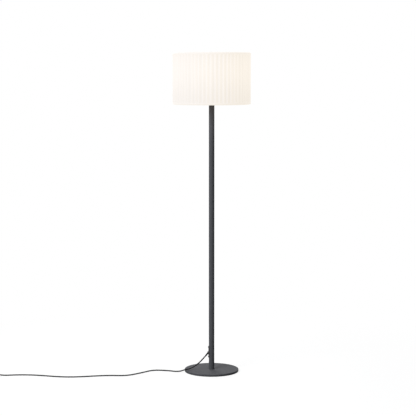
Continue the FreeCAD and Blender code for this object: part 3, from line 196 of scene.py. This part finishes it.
# %% Hard finishes
# slot: colour, roughness, width of a grain, spread of its colour, height of a grain, and sway
HARD_FINISHES = {
    "graphite_powder_coat": ((0.106, 0.108, 0.117), 0.62, 0.0008, 0.07, 0.000015),
    "felt_pad": ((0.03, 0.03, 0.031), 0.95, 0.0012, 0.4, 0.0003, 0.04),
    "zinc_steel": ((0.6, 0.61, 0.63), 0.34, 0.002, 0.08, 0.00001),
    "black_plastic": ((0.028, 0.028, 0.03), 0.5, 0.0007, 0.15, 0.00003),
    "black_screws": ((0.05, 0.05, 0.053), 0.36, 0.0008, 0.2, 0.00001),
    "holder_plastic": ((0.74, 0.72, 0.68), 0.38, 0.0016, 0.03, 0.00001),
    "ceramic_insert": ((0.8, 0.79, 0.75), 0.6, 0.0006, 0.05, 0.00002),
    "contact_brass": ((0.78, 0.58, 0.28), 0.3, 0.002, 0.08, 0.00001),
    "lead_insulation": ((0.3, 0.14, 0.06), 0.42, 0.001, 0.08, 0.00002),
    "bulb_cap_metal": ((0.72, 0.72, 0.73), 0.28, 0.003, 0.05, 0.00001),
    "cap_glass": ((0.015, 0.015, 0.017), 0.12, 0.002, 0.1, 0.00001),
    "white_wire": ((0.8, 0.79, 0.75), 0.33, 0.0025, 0.03, 0.00002),
    "rubber_feet": ((0.035, 0.035, 0.035), 0.8, 0.0006, 0.2, 0.00003),
    "switch_block": ((0.5, 0.5, 0.48), 0.5, 0.001, 0.05, 0.00002),
    "switch_button_plastic": ((0.04, 0.04, 0.042), 0.34, 0.001, 0.12, 0.00002),
    "spring_wire": ((0.62, 0.62, 0.62), 0.25, 0.001, 0.05, 0.00001),
    "plug_plastic": ((0.025, 0.025, 0.027), 0.42, 0.0009, 0.15, 0.00003),
}
BARE_METAL = {"Metallic": 1.0}
OTHER_SOCKETS = {
    "graphite_powder_coat": {"Specular_IOR_Level": 0.03},
    "black_screws": {"Metallic": 0.7},
    "zinc_steel": BARE_METAL,
    "contact_brass": BARE_METAL,
    "bulb_cap_metal": BARE_METAL,
    "spring_wire": BARE_METAL,
}
FINISHES = {
    name: grained(name, *numbers, **OTHER_SOCKETS.get(name, {}))
    for name, numbers in HARD_FINISHES.items()
}
print(len(FINISHES), "hard finishes")

# %% [markdown]
# The cord's sheath is soft black plastic, a little darker than the mouldings, with a grain of
# about a quarter of its own width. The strap that ties its coil is a woven tape: it is duller,
# its grain is finer, and a little sheen stands for the fluff on its threads.

# %% Cord sheath and strap
sheath = finish("cord_sheath", (0.01, 0.01, 0.011), 0.5, Specular_IOR_Level=0.18)
FINISHES["cord_sheath"] = grain(
    sheath, 0.0016, ((0.007, 0.007, 0.008), (0.013, 0.013, 0.014)), (0.44, 0.56), 0.00003
)

strap = finish("tie_strap", (0.02, 0.02, 0.022), 0.85, Sheen_Weight=0.3, Sheen_Roughness=0.5)
FINISHES["tie_strap"] = grain(
    strap, 0.0005, ((0.012, 0.012, 0.013), (0.04, 0.04, 0.044)), (0.75, 0.95), 0.00015
)

# %% [markdown]
# ## The cord
#
# A mains cord is a fixed length of something springy, so its place is settled before anything
# else. It leaves the gland pointing down and out, drops to the disc, crosses the rim and lies
# on the floor in the slow bends that it kept from its packing. The photograph shows its first
# part, which fades out at the left; a foot switch, a put-away coil and the plug lie further
# along, outside the view. One smooth NURBS line of order 3 goes past all these points, as a
# cord does: it leans into its bends and never turns at a corner.

# %% The cord's way over the floor
CORD = 0.006
GLAND_TURN = math.radians(197)
GLAND_TILT = math.radians(47)
GLAND_MOUTH = (0.014, 0.0905)
GLAND_LENGTH = 0.024
CORD_DROP = 0.032
FLOOR_ROUTE_MM = [
    (-71.0, -21.7, 33.0),
    (-91.5, -28.0, 21.0),
    (-112.0, -35.0, 15.6),
    (-130.0, -37.4, 12.0),
    (-149.0, -32.0, 4.4),
    (-173.0, -29.5, 3.2),
    (-200.0, -14.5, 3.2),
    (-230.0, -7.0, 3.2),
    (-262.0, -2.0, 3.2),
    (-290.0, -13.0, 3.2),
    (-320.0, -47.0, 3.2),
    (-352.0, -79.0, 3.2),
    (-384.0, -107.0, 3.2),
    (-420.0, -117.0, 3.2),
    (-472.0, -112.0, 3.2),
    (-535.0, -121.0, 3.2),
    (-600.0, -139.0, 3.2),
    (-667.0, -146.0, 3.2),
    (-733.0, -134.0, 3.2),
    (-798.0, -112.0, 3.2),
    (-862.0, -101.0, 3.2),
    (-915.0, -103.0, 3.2),
    (-950.0, -110.0, 3.2),
    (-972.0, -113.0, 3.9),
    (-988.0, -113.0, 6.0),
    (-1003.0, -113.0, 6.0),
    (-1101.0, -113.0, 6.0),
    (-1113.0, -113.0, 6.0),
    (-1127.0, -113.0, 4.4),
    (-1140.0, -113.0, 4.4),
]


def along_gland(distance):
    """A point on the gland's slanted axis, a distance out from the post's face."""
    radius = GLAND_MOUTH[0] + distance * math.cos(GLAND_TILT)
    height = GLAND_MOUTH[1] - distance * math.sin(GLAND_TILT)
    return [radius * math.cos(GLAND_TURN), radius * math.sin(GLAND_TURN), height]


cord_exit = along_gland(GLAND_LENGTH)
cord_start = [cord_exit, along_gland(GLAND_LENGTH + CORD_DROP)]
floor_route = np.array(FLOOR_ROUTE_MM) * MM
print("the cord leaves the gland at", np.round(cord_exit, 4).tolist())

# %% [markdown]
# The coil is a flat spiral that is wound inwards on the floor, climbs one layer in the half
# turn where it reverses, and is wound outwards again on top. Its radius falls by one pitch a
# turn, then grows by one. A smooth spline runs a little inside its own control points, so
# they stand slightly further out than the turns that they make.

# %% The coil
TURNS_IN, TURNS_BACK, TURNS_OUT = 1.5, 0.5, 1.25
COIL_RADIUS, COIL_PITCH, COIL_LAYER = 0.04125, 0.007, 0.0068
COIL_BEGIN = np.array([-1.146, -0.113, 0.0044])
POINTS_PER_TURN = 16


def lean_at(radius):
    """The angle between the spiral and a circle, where the spiral has this radius."""
    return math.atan2(COIL_PITCH, 2 * math.pi * radius)


end_radius = COIL_RADIUS - COIL_PITCH * (TURNS_IN - TURNS_OUT)
start_turn = lean_at(COIL_RADIUS) - math.pi / 2
all_turns = TURNS_IN + TURNS_BACK + TURNS_OUT
all_turns += (lean_at(COIL_RADIUS) + lean_at(end_radius)) / (2 * math.pi)
coil_middle = COIL_BEGIN - COIL_RADIUS * np.array([math.cos(start_turn), math.sin(start_turn), 0])


def coil_place(turns, swell=1.0):
    """Places on the coil: radius = start radius - pitch x turns in + pitch x turns out."""
    inwards = np.minimum(turns, TURNS_IN)
    back = np.clip(turns - TURNS_IN, 0, TURNS_BACK)
    outwards = np.maximum(turns - TURNS_IN - TURNS_BACK, 0)
    share = back / TURNS_BACK
    radius = COIL_RADIUS - COIL_PITCH * (inwards + back * (1 - share) - outwards)
    angle = start_turn - 2 * math.pi * turns
    climb = COIL_LAYER * share**2 * (3 - 2 * share)
    spread = radius * swell
    return coil_middle + np.stack([spread * np.cos(angle), spread * np.sin(angle), climb], -1)


swell = 1 / math.cos(math.pi / POINTS_PER_TURN)
steps = round(all_turns * POINTS_PER_TURN)
coil_route = coil_place(all_turns * np.arange(1, steps) / steps, swell)
coil_end = coil_place(np.array(all_turns))
print("coil of", round(all_turns, 3), "turns ends at", np.round(coil_end, 4).tolist())

# %% [markdown]
# The tail leaves the coil straight, sinks to the plug's middle and ends inside its sleeve.
# The spline's order is set only after its points are there, because an empty spline can't
# hold it.

# %% The cord's curve
TAIL_STEPS = np.array([[0, 6, 0], [0, 30, 0], [0, 49, -4.35], [0, 68, -4.35], [0, 72, -4.35]]) * MM


def cord_curve(name, route, diameter):
    """One NURBS spline with the route's points as its control points, and a round section."""
    curve = bpy.data.curves.new(name, "CURVE")
    curve.dimensions = "3D"
    curve.bevel_depth = diameter / 2
    curve.bevel_resolution = 5
    curve.resolution_u = 6
    curve.use_fill_caps = True
    spline = curve.splines.new("NURBS")
    spline.points.add(len(route) - 1)
    weighted = np.concatenate([route, np.ones((len(route), 1))], 1)
    spline.points.foreach_set("co", weighted.ravel())
    spline.order_u = 3
    spline.use_endpoint_u = True
    made = bpy.data.objects.new(name, curve)
    scene.collection.objects.link(made)
    return made


cord_route = np.concatenate(
    [cord_start, floor_route, [COIL_BEGIN], coil_route, coil_end + TAIL_STEPS]
)
cord = cord_curve("mains_cord", cord_route, CORD)
cord.data.materials.append(FINISHES["cord_sheath"])
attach(cord, "root")
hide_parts("cord_floor_run", "cord_link", "cord_coil", "cord_tail")

# %% [markdown]
# ## Surfaces from numbers
#
# Folded paper and tape are skins: each is a grid of points that follows a formula, and a grid
# joins up into quads in one step. The rows of a grid lie one above the other and its columns
# go round the post. The same step measures the skin along both directions, in metres, and
# keeps the result as the skin's own texture map, so that its fibres later follow every fold.


# %% Grid to mesh
def skin(name, grid, material, closed_rows=False, capped=False, attributes=None):
    """Join a grid of points (rows, columns, 3) into a mesh whose columns close on themselves.

    Each quad has a point, its neighbour to the left, and the two above them. With
    closed_rows the last row meets the first as well, as on a ring, and with capped the first
    and the last row are each filled by one flat face, as at a wire's ends.
    """
    rows, columns = grid.shape[:2]
    number = np.arange(rows * columns).reshape(rows, columns)
    quads = np.stack([number, np.roll(number, -1, 1)], -1)
    above = np.roll(quads, -1, 0)[..., ::-1]
    quads = np.concatenate([quads, above], -1)[: rows if closed_rows else rows - 1].reshape(-1, 4)

    mesh = bpy.data.meshes.new(name)
    ends = [number[0][::-1].tolist(), number[-1].tolist()] if capped else []
    mesh.from_pydata(grid.reshape(-1, 3).tolist(), [], quads.tolist() + ends)

    def measured(axis):
        """How far each line of the grid is from the first, along the skin."""
        gaps = np.linalg.norm(np.roll(grid, -1, axis) - grid, axis=2).mean(1 - axis)
        return np.concatenate([[0], np.cumsum(gaps)])

    row, column = np.divmod(np.arange(len(quads)), columns)
    across = measured(1)[np.stack([column, column + 1, column + 1, column], -1)]
    up = measured(0)[np.stack([row, row, row + 1, row + 1], -1)]
    chart = mesh.uv_layers.new(name="along_skin")
    places = np.zeros((len(mesh.loops), 2))
    places[: across.size] = np.stack([across, up], -1).reshape(-1, 2)
    chart.data.foreach_set("uv", places.ravel())
    for key, numbers in (attributes or {}).items():
        layer = mesh.attributes.new(key, "FLOAT", "POINT")
        layer.data.foreach_set("value", numbers.ravel().astype(np.float32))
    mesh.shade_smooth()
    mesh.materials.append(material)
    made = bpy.data.objects.new(name, mesh)
    scene.collection.objects.link(made)
    print(name, len(quads), "quads")
    return made


def round_the_post(radius, height, angle):
    """Points at a radius, a height and an angle about the post's axis."""
    return np.stack(np.broadcast_arrays(radius * np.cos(angle), radius * np.sin(angle), height), -1)


# %% [markdown]
# ## Paper that glows
#
# The paper does two things at once: it scatters the daylight of the room, and it passes on
# the lamp's warm light from inside. Letting rays find their way through two layers of paper
# would be slow and noisy, so the paper's own glow stands for them: a warm emission that is
# strongest a little above the lamp's middle and weaker in the folds, where the paper is
# double, and that drifts with the fibres and from one pleat to the next. Most daylight goes
# through the paper, too. What little it scatters back is the cool part, so the side towards
# the window looks whiter than the other.

# %% Paper finishes
GLOW_TINT = (1.0, 0.918, 0.8)
LAMP_HEIGHT = 1.39
GLOW_MIDDLE = 1.42
FIBRE_SWAY, STREAK_SWAY = 0.025, 0.017
STREAKS_PER_METRE = 70.0
LIT_FROM = 0.6


def glow_by_height(material, dim, reach, centre):
    """A factor that is 1 at the height of the centre, and 1 - dim at reach above and below."""
    place = node(material, "TexCoord").outputs["Object"]
    height = node(material, "SeparateXYZ", Vector=place).outputs["Z"]
    away = maths(material, "ABSOLUTE", maths(material, "SUBTRACT", height, centre))
    return smooth_step(material, away, 0, reach, 1, 1 - dim)


def drawn_out(material, chart, flat, per_metre, detail):
    """Noise of so many grains a metre, drawn out 1 / flat times along the chart's height."""
    place = node(material, "Mapping", Vector=chart, Scale=(1, flat, 1)).outputs["Vector"]
    noise = node(material, "TexNoise", Vector=place, Scale=per_metre, Detail=detail)
    return noise.outputs["Fac"]


def swayed(material, glow, noise, by):
    """A glow times a factor that runs from 1 - by to 1 + by as the noise goes from 0.3 to 0.7."""
    ends = {"From_Min": 0.3, "From_Max": 0.7, "To_Min": 1 - by, "To_Max": 1 + by}
    sway = node(material, "MapRange", Value=noise, **ends)
    return maths(material, "MULTIPLY", glow, sway.outputs["Result"])


def shaded_folds(material, glow, by):
    """A glow times 1 - by in the inner folds, where the fold attribute is 0, and 1 further out."""
    fold = node(material, "Attribute", {"attribute_name": "fold"}).outputs["Fac"]
    return maths(material, "MULTIPLY", glow, smooth_step(material, fold, 0, LIT_FROM, 1 - by, 1))


def glowing_paper(
    name, colour, strength, fibre, relief, dim, reach, tint=GLOW_TINT, fold_shade=0.0, skinned=True
):
    """Paper with fibres in its surface and the lamp's light in it.

    fibre is the width of a fibre and relief its height, in metres. The glow falls by dim at
    reach from its middle, and by fold_shade in the inner folds. A skinned piece has a texture
    map of its own for the fibres to follow, and any other goes by place.
    """
    material = finish(name, colour, 0.85, Emission_Strength=strength)
    if skinned:
        chart = node(material, "UVMap", {"uv_map": "along_skin"}).outputs["UV"]
    else:
        chart = node(material, "TexCoord").outputs["Object"]
    fibres = drawn_out(material, chart, 0.35, 1 / fibre, 4.0)
    streaks = drawn_out(material, chart, 0.06, STREAKS_PER_METRE, 2.0)
    dark, light = shades(colour, 0.05)
    mix = node(material, "MixRGB", Fac=fibres, Color1=(*dark, 1), Color2=(*light, 1))
    join(material, "Base Color", mix.outputs["Color"])
    bump = node(material, "Bump", Height=fibres, Strength=1.0, Distance=relief)
    join(material, "Normal", bump.outputs["Normal"])
    glow = glow_by_height(material, dim, reach, GLOW_MIDDLE)
    glow = swayed(material, glow, streaks, STREAK_SWAY)
    glow = swayed(material, glow, fibres, FIBRE_SWAY)
    if fold_shade:
        glow = shaded_folds(material, glow, fold_shade)
    lit = node(material, "MixRGB", Fac=glow, Color1=(0, 0, 0, 1), Color2=(*tint, 1))
    join(material, "Emission Color", lit.outputs["Color"])
    return material


FINISHES["pleated_paper"] = glowing_paper(
    "pleated_paper",
    (0.05, 0.075, 0.135),
    strength=0.948,
    fibre=0.0006,
    relief=0.00004,
    dim=0.07,
    reach=0.165,
    fold_shade=0.032,
)
FINISHES["trim_paper"] = glowing_paper(
    "trim_paper",
    (0.08, 0.11, 0.17),
    strength=0.9,
    fibre=0.0004,
    relief=0.00006,
    dim=0.03,
    reach=0.14,
)
FINISHES["liner_film"] = glowing_paper(
    "liner_film",
    (0.4, 0.385, 0.36),
    strength=0.76,
    fibre=0.0015,
    relief=0.00001,
    dim=0.25,
    reach=0.16,
    tint=(1.0, 0.85, 0.67),
    skinned=False,
)

# %% [markdown]
# The bulb is opal glass: lit, it looks like a ball of even warm light, a little darker where
# the glass turns away at its edge and at its neck.

# %% Opal glass
opal = finish("opal_glass", (0.8, 0.78, 0.74), 0.2, Emission_Strength=1.0, Coat_Weight=0.5)
edge = node(opal, "LayerWeight", Blend=0.35).outputs["Facing"]
warmth = node(
    opal, "MixRGB", Fac=edge, Color1=(1.0, 0.94, 0.82, 1), Color2=(0.94, 0.74, 0.5, 1)
)
neck = glow_by_height(opal, dim=0.55, reach=0.055, centre=LAMP_HEIGHT)
lit = node(opal, "MixRGB", Fac=neck, Color1=(0.1, 0.06, 0.03, 1), Color2=warmth.outputs["Color"])
join(opal, "Emission Color", lit.outputs["Color"])
FINISHES["opal_glass"] = opal

# %% [markdown]
# ## The pleated shade
#
# A strip of paper is folded like a fan, sixty times, and glued round a film that keeps it
# round. Each fold runs from rim to rim. Seen from above the strip is a star of low zigzags, so
# the radius swings between an outer and an inner fold as the angle goes round. A triangle
# wave would give knife edges; taking the arcsine of a slightly shrunk cosine rounds each
# crease as stiff paper rounds it. Slow waves shift the folds a little and make some of them
# shallower, so no two are quite the same, and near both rims the tape presses them together.
# Where the strip's two ends are glued, at the back, one pleat is double and lets less light
# through.

# %% Pleats
PLEATS = 60
FOLD_OUT, FOLD_IN = 0.18155, 0.1782
SHADE_FOOT, SHADE_TOP = 1.26, 1.5
SKIN_MARGIN = 0.00563
CREASE = 0.985
PAPER = 0.0004
DRIFTS = ((0.0016, 7, 1.3), (0.0013, 11, 0.4), (0.0011, 23, 2.1))
SHALLOWER, SHALLOW_WAVES = 0.06, 17
ROW_CROWDING = 0.25
PRESSED, PRESSED_OVER = 0.45, 0.008
SEAM_AT = math.pi / 2
SEAM_LIGHT = 0.3


def fold_wave(angle):
    """1 on an outer fold, 0 on an inner one: arcsine of a shrunk cosine, with small drifts."""
    drift = sum(size * np.sin(waves * angle + start) for size, waves, start in DRIFTS)
    wave = np.arcsin(CREASE * np.cos(PLEATS * (angle + drift))) / math.asin(CREASE)
    return 0.5 + 0.5 * wave


def pleated_grid(per_fold=14, rows=30):
    """The paper's points, and how well each is lit.

    radius = outer fold - depth x (1 - wave), with less depth close to a rim. The rows stand
    closest at the rims and halfway up.
    """
    angle = 2 * math.pi * np.arange(PLEATS * per_fold) / (PLEATS * per_fold)
    share = np.linspace(0, 1, rows)
    share = share - ROW_CROWDING * np.sin(4 * math.pi * share) / (2 * math.pi)
    height = SHADE_FOOT + SKIN_MARGIN + share * (SHADE_TOP - SHADE_FOOT - 2 * SKIN_MARGIN)
    from_rim = np.minimum(height - height[0], height[-1] - height)
    pressed = PRESSED * np.exp(-((from_rim / PRESSED_OVER) ** 2))
    wave = fold_wave(angle)[None, :]
    uneven = SHALLOWER * (1 + np.sin(SHALLOW_WAVES * angle + 0.9))[None, :] / 2
    depth = (FOLD_OUT - FOLD_IN) * (1 - pressed[:, None]) * (1 - uneven)
    radius = FOLD_OUT - depth * (1 - wave)
    glued = np.abs(angle - SEAM_AT) < math.pi / PLEATS
    lit = np.broadcast_to(np.where(glued, SEAM_LIGHT * wave, wave), radius.shape)
    return round_the_post(radius, height[:, None], angle[None, :]), lit


grid, fold = pleated_grid()
pleats = skin("shade_pleats", grid, FINISHES["pleated_paper"], attributes={"fold": fold})
paper = pleats.modifiers.new("paper", "SOLIDIFY")
paper.thickness = PAPER
paper.offset = -1
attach(pleats, "shade")
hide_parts("pleated_shade")
half_pleat = math.pi * (FOLD_OUT + FOLD_IN) / 2 / PLEATS
flat_width = 2 * PLEATS * math.hypot(FOLD_OUT - FOLD_IN, half_pleat)
print("the paper is about", round(flat_width, 2), "m wide before it is folded")

# %% [markdown]
# ## The rolled rims
#
# Each rim is a band of tape that is folded over the wire hoop: a skirt outside, a rounded
# roll, and a short hem inside. Its outline is a path given a thickness: the path's points are
# shifted to both sides along its normals, and the two sides are joined by round ends. Carried
# round the post, the outline makes a closed ring. The band hugs the pleats, so its skirt
# rises and falls with them by a fraction of a millimetre, and at the back its end laps over
# its start.

# %% Rims
BAND, SKIRT, ROLL, HEM = 0.0006, 0.009, 0.007, 0.004
HEM_BEND = 0.0028
RIM_OUTSIDE, RIM_INSIDE = 0.18235, 0.1725
HUG_DEPTH = 0.00012
LAP_RISE, LAP_REACH, LAP_STEP = 0.00014, 0.034, 0.004


def banded(path, thickness, ends=5):
    """A closed outline round a path: both sides at half the thickness, and round ends."""
    along = np.gradient(path, axis=0)
    along /= np.linalg.norm(along, axis=1, keepdims=True)
    aside = np.stack([along[:, 1], -along[:, 0]], -1) * thickness / 2
    bend = np.linspace(0, math.pi, ends + 2)[1:-1, None]
    first = path[0] + aside[0] * np.cos(bend) * -1 - along[0] * thickness / 2 * np.sin(bend)
    last = path[-1] + aside[-1] * np.cos(bend) + along[-1] * thickness / 2 * np.sin(bend)
    return np.concatenate([path + aside, last, (path - aside)[::-1], first])


def quarter(centre, radius, start, end, count):
    """Points on an arc about a centre, between two angles in degrees."""
    turn = np.radians(np.linspace(start, end, count))[:, None]
    return np.array(centre) + radius * np.concatenate([np.cos(turn), np.sin(turn)], 1)


def rim_path():
    """Up the hem, round its small bend, along the flat rim, round the roll and up the skirt."""
    inside, outside, half = RIM_INSIDE + BAND / 2, RIM_OUTSIDE - BAND / 2, BAND / 2
    roll = ROLL - half
    return np.concatenate(
        [
            [[inside, HEM]],
            quarter((inside + HEM_BEND, half + HEM_BEND), HEM_BEND, 180, 270, 6),
            quarter((RIM_OUTSIDE - ROLL, half + roll), roll, -90, 0, 12),
            [[outside, z] for z in np.linspace(ROLL + BAND, SKIRT, 3)],
        ]
    )


def rim_grid(outline, foot, up, columns=960):
    """The outline carried round the post; hugging and the lap move it straight outwards."""
    angle = 2 * math.pi * np.arange(columns) / columns
    hug_from = ROLL * 0.6
    skirt = np.clip((outline[:, 1] - hug_from) / (SKIRT - hug_from), 0, 1)
    skirt = skirt * (outline[:, 0] > RIM_OUTSIDE - 2 * BAND)
    hug = HUG_DEPTH * (fold_wave(angle) - 1)
    lap_share = np.clip((LAP_REACH - np.abs(angle - SEAM_AT)) / LAP_STEP, 0, 1)
    lap = LAP_RISE * lap_share * (3 - 2 * lap_share)
    radius = outline[:, :1] + skirt[:, None] * hug[None, :] + lap[None, :]
    return round_the_post(radius, foot + up * outline[:, 1:], angle[None, :])


outline = banded(rim_path(), BAND)
RIMS = {
    "rim_band_bottom": (SHADE_FOOT, 1, outline, "shade_bottom_trim"),
    "rim_band_top": (SHADE_TOP, -1, outline[::-1], "shade_top_trim"),
}
for name, (foot, up, way, stands_for) in RIMS.items():
    band = skin(name, rim_grid(way, foot, up), FINISHES["trim_paper"], closed_rows=True)
    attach(band, "shade")
    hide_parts(stands_for)

# %% [markdown]
# ## Weld beads on the shade's wires
#
# Each spoke is welded to the fitter ring at one end and to the bottom hoop at the other. A bead
# of molten wire sets as a small uneven drop: a ball, stretched along the seam, whose radius
# sways a little with the angle. The two small holes at its poles are filled flat.

# %% Weld beads
SPOKES_AT = np.radians([30, 150, 270])
# name: radius and height, and the reach outwards, along the seam and up
WELDS = {
    "hoop_weld": ((0.17372, 1.26457), (0.0019, 0.0031, 0.0019)),
    "fitter_weld": ((0.0296, 1.2944), (0.0017, 0.0024, 0.0011)),
}


def weld_bead(turn, place, reach, rows=10, columns=18):
    """A drop at a radius and height, turned to its spoke: reach x (1 + waves) x direction."""
    rise = np.radians(np.linspace(-80, 80, rows))[:, None]
    round_it = 2 * math.pi * np.arange(columns)[None, :] / columns
    wave = 1 + 0.05 * np.sin(3 * round_it + 2 * rise) + 0.04 * np.sin(5 * round_it + 1.0)
    out = place[0] + reach[0] * wave * np.cos(rise) * np.cos(round_it)
    aside = reach[1] * wave * np.cos(rise) * np.sin(round_it)
    up = place[1] + reach[2] * wave * np.sin(rise)
    x = out * math.cos(turn) - aside * math.sin(turn)
    y = out * math.sin(turn) + aside * math.cos(turn)
    return np.stack([x, y, up], -1)


for name, (place, reach) in WELDS.items():
    for i, turn in enumerate(SPOKES_AT):
        drop = weld_bead(turn, place, reach)
        bead = skin(f"{name}_{i + 1}", drop, FINISHES["white_wire"], capped=True)
        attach(bead, "shade")

# %% [markdown]
# ## The spring under the button
#
# When the switch is pressed, its button sinks and the spring below gets shorter. The spring is
# wound again here as a wire of its own, in place of the engineered one. Its line is a helix, and
# at each step a circle stands square to it: one direction of the circle points away from the
# axis, and the other is square to that and to the wire.

# %% Press spring
SPRING_WIRE, SPRING_TURNS, BUTTON_TRAVEL = 0.0008, 4, 0.0025


def wire_coil(low, high, wire, turns, per_turn=28, around=10):
    """A helix in a box with corners low and high, and a circle of points about each place."""
    low, high = np.array(low) + wire / 2, np.array(high) - wire / 2
    angle = np.linspace(0, 2 * math.pi * turns, turns * per_turn + 1)
    outwards = np.stack([np.cos(angle), np.sin(angle), 0 * angle], -1)
    middle, radius = (low + high) / 2, (high[0] - low[0]) / 2
    line = middle + radius * outwards
    line[:, 2] = np.linspace(low[2], high[2], len(angle))
    along = np.gradient(line, axis=0)
    along /= np.linalg.norm(along, axis=1, keepdims=True)
    across = np.cross(along, outwards)
    turn = 2 * math.pi * np.arange(around)[None, :, None] / around
    circle = np.cos(turn) * outwards[:, None] + np.sin(turn) * across[:, None]
    return line[:, None] + wire / 2 * circle


spring_low, spring_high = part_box("switch_spring")
wound_wire = wire_coil(spring_low, spring_high, SPRING_WIRE, SPRING_TURNS)
spring = skin("press_spring", wound_wire, FINISHES["spring_wire"], capped=True)
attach(spring, "root")
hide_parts("switch_spring")
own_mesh(spring)

# %% [markdown]
# ## Dressing the engineered pieces
#
# Everything that was turned, pressed or moulded keeps its engineered mesh. Each one names the
# slot of its finish in the model's record, so a single loop puts the finishes on.

# %% Dress the nodes
for piece in frame["record"]["subparts"]:
    made = frame["nodes"][piece["node"]]
    made.data.materials.clear()
    made.data.materials.append(FINISHES[piece["material_slot"]])

# %% [markdown]
# ## A white room
#
# The lamp stands on a pale floor in soft daylight from the left. The camera should see pure
# white behind it, yet white walls all round would wash out every shadow. Light Path tells the
# rays apart: those that come from the camera, a reflection or through glass find white, and
# those that gather light find a dim grey. The floor does the same near its rim, and close to
# the lamp it keeps a soft shadow.

# %% World and floor
AMBIENT = 0.1
GATHERED_GREY, SHADOW_GREY, FLOOR_GLOW = 0.3, 0.34, 0.76
SHADOWED_WITHIN, WHITE_FROM = 0.5, 1.6
FLOOR_HALF, FLOOR_LEVEL = 7.0, -0.0002


def seen(material):
    """1 for a ray from the camera, a reflection or through glass, and 0 for any other."""
    path = node(material, "LightPath").outputs
    outside = maths(material, "MAXIMUM", path["Is Camera Ray"], path["Is Glossy Ray"])
    return maths(material, "MAXIMUM", outside, path["Is Transmission Ray"])


def mixed(material, share, first, second):
    """A blend of two shaders: 0 gives the first and 1 the second."""
    mix = node(material, "MixShader", Fac=share)
    for socket, shader in zip(mix.inputs[1:], (first, second)):
        material.node_tree.links.new(shader.outputs[0], socket)
    return mix


world = bpy.data.worlds.new("room")
world.use_nodes = True
world.node_tree.nodes.clear()
dim = node(world, "Background", Color=(0.93, 0.96, 1.0, 1), Strength=AMBIENT)
bright = node(world, "Background", Color=(1, 1, 1, 1), Strength=1.0)
node(world, "OutputWorld", Surface=mixed(world, seen(world), dim, bright).outputs[0])
scene.world = world

floor_white = bpy.data.materials.new("floor_white")
floor_white.use_nodes = True
floor_white.node_tree.nodes.clear()
lit = node(floor_white, "BsdfDiffuse", Color=(*[GATHERED_GREY] * 3, 1))
part_lit = node(floor_white, "BsdfDiffuse", Color=(*[SHADOW_GREY] * 3, 1))
part_glow = node(floor_white, "Emission", Color=(1, 1, 1, 1), Strength=FLOOR_GLOW)
near = node(floor_white, "AddShader")
for socket, shader in zip(near.inputs, (part_lit, part_glow)):
    floor_white.node_tree.links.new(shader.outputs[0], socket)
far = node(floor_white, "Emission", Color=(1, 1, 1, 1), Strength=1.0)
place = node(floor_white, "TexCoord").outputs["Object"]
away = node(floor_white, "VectorMath", {"operation": "LENGTH"}, Vector=place).outputs["Value"]
fade = smooth_step(floor_white, away, SHADOWED_WITHIN, WHITE_FROM, 0, 1)
visible = mixed(floor_white, fade, near, far)
whole = mixed(floor_white, seen(floor_white), lit, visible)
node(floor_white, "OutputMaterial", Surface=whole.outputs[0])

SQUARE = ((-1, -1), (1, -1), (1, 1), (-1, 1))
corners = [(x * FLOOR_HALF, y * FLOOR_HALF, FLOOR_LEVEL) for x, y in SQUARE]
floor_mesh = bpy.data.meshes.new("floor")
floor_mesh.from_pydata(corners, [], [(0, 1, 2, 3)])
floor_mesh.materials.append(floor_white)
floor = bpy.data.objects.new("floor", floor_mesh)
scene.collection.objects.link(floor)

# %% [markdown]
# Three large soft lamps light it: a window at the left, the sky above, and a warmer one
# behind. A surface that faces a lamp of P watts from d metres away shows its own colour when
# P is about ten times the square of d, so each lamp's power is written as a share of that.


# %% Studio lamps
def softbox(name, at, towards, size, share, colour):
    """A square area lamp: power = share x pi squared x the distance to its target squared."""
    data = bpy.data.lights.new(name, "AREA")
    data.shape = "SQUARE"
    data.size = size
    data.color = colour
    gap = np.array(towards) - np.array(at)
    data.energy = share * math.pi**2 * float(gap @ gap)
    lamp = bpy.data.objects.new(name, data)
    lamp.location = at
    flat = math.hypot(gap[0], gap[1])
    lamp.rotation_euler = (math.atan2(flat, -gap[2]), 0, math.atan2(-gap[0], gap[1]))
    scene.collection.objects.link(lamp)
    print(name, round(data.energy), "W")


softbox("window", (-3.1, -3.1, 2.6), (0, 0, 0.8), size=2.2, share=0.7, colour=(0.96, 0.98, 1.0))
softbox("sky", (0.0, -0.2, 4.2), (0, 0, 0), size=2.4, share=0.28, colour=(0.98, 0.99, 1.0))
softbox("back", (-1.5, 4.0, 2.4), (0, 0, 0.8), size=2.4, share=0.45, colour=(1.0, 0.98, 0.96))
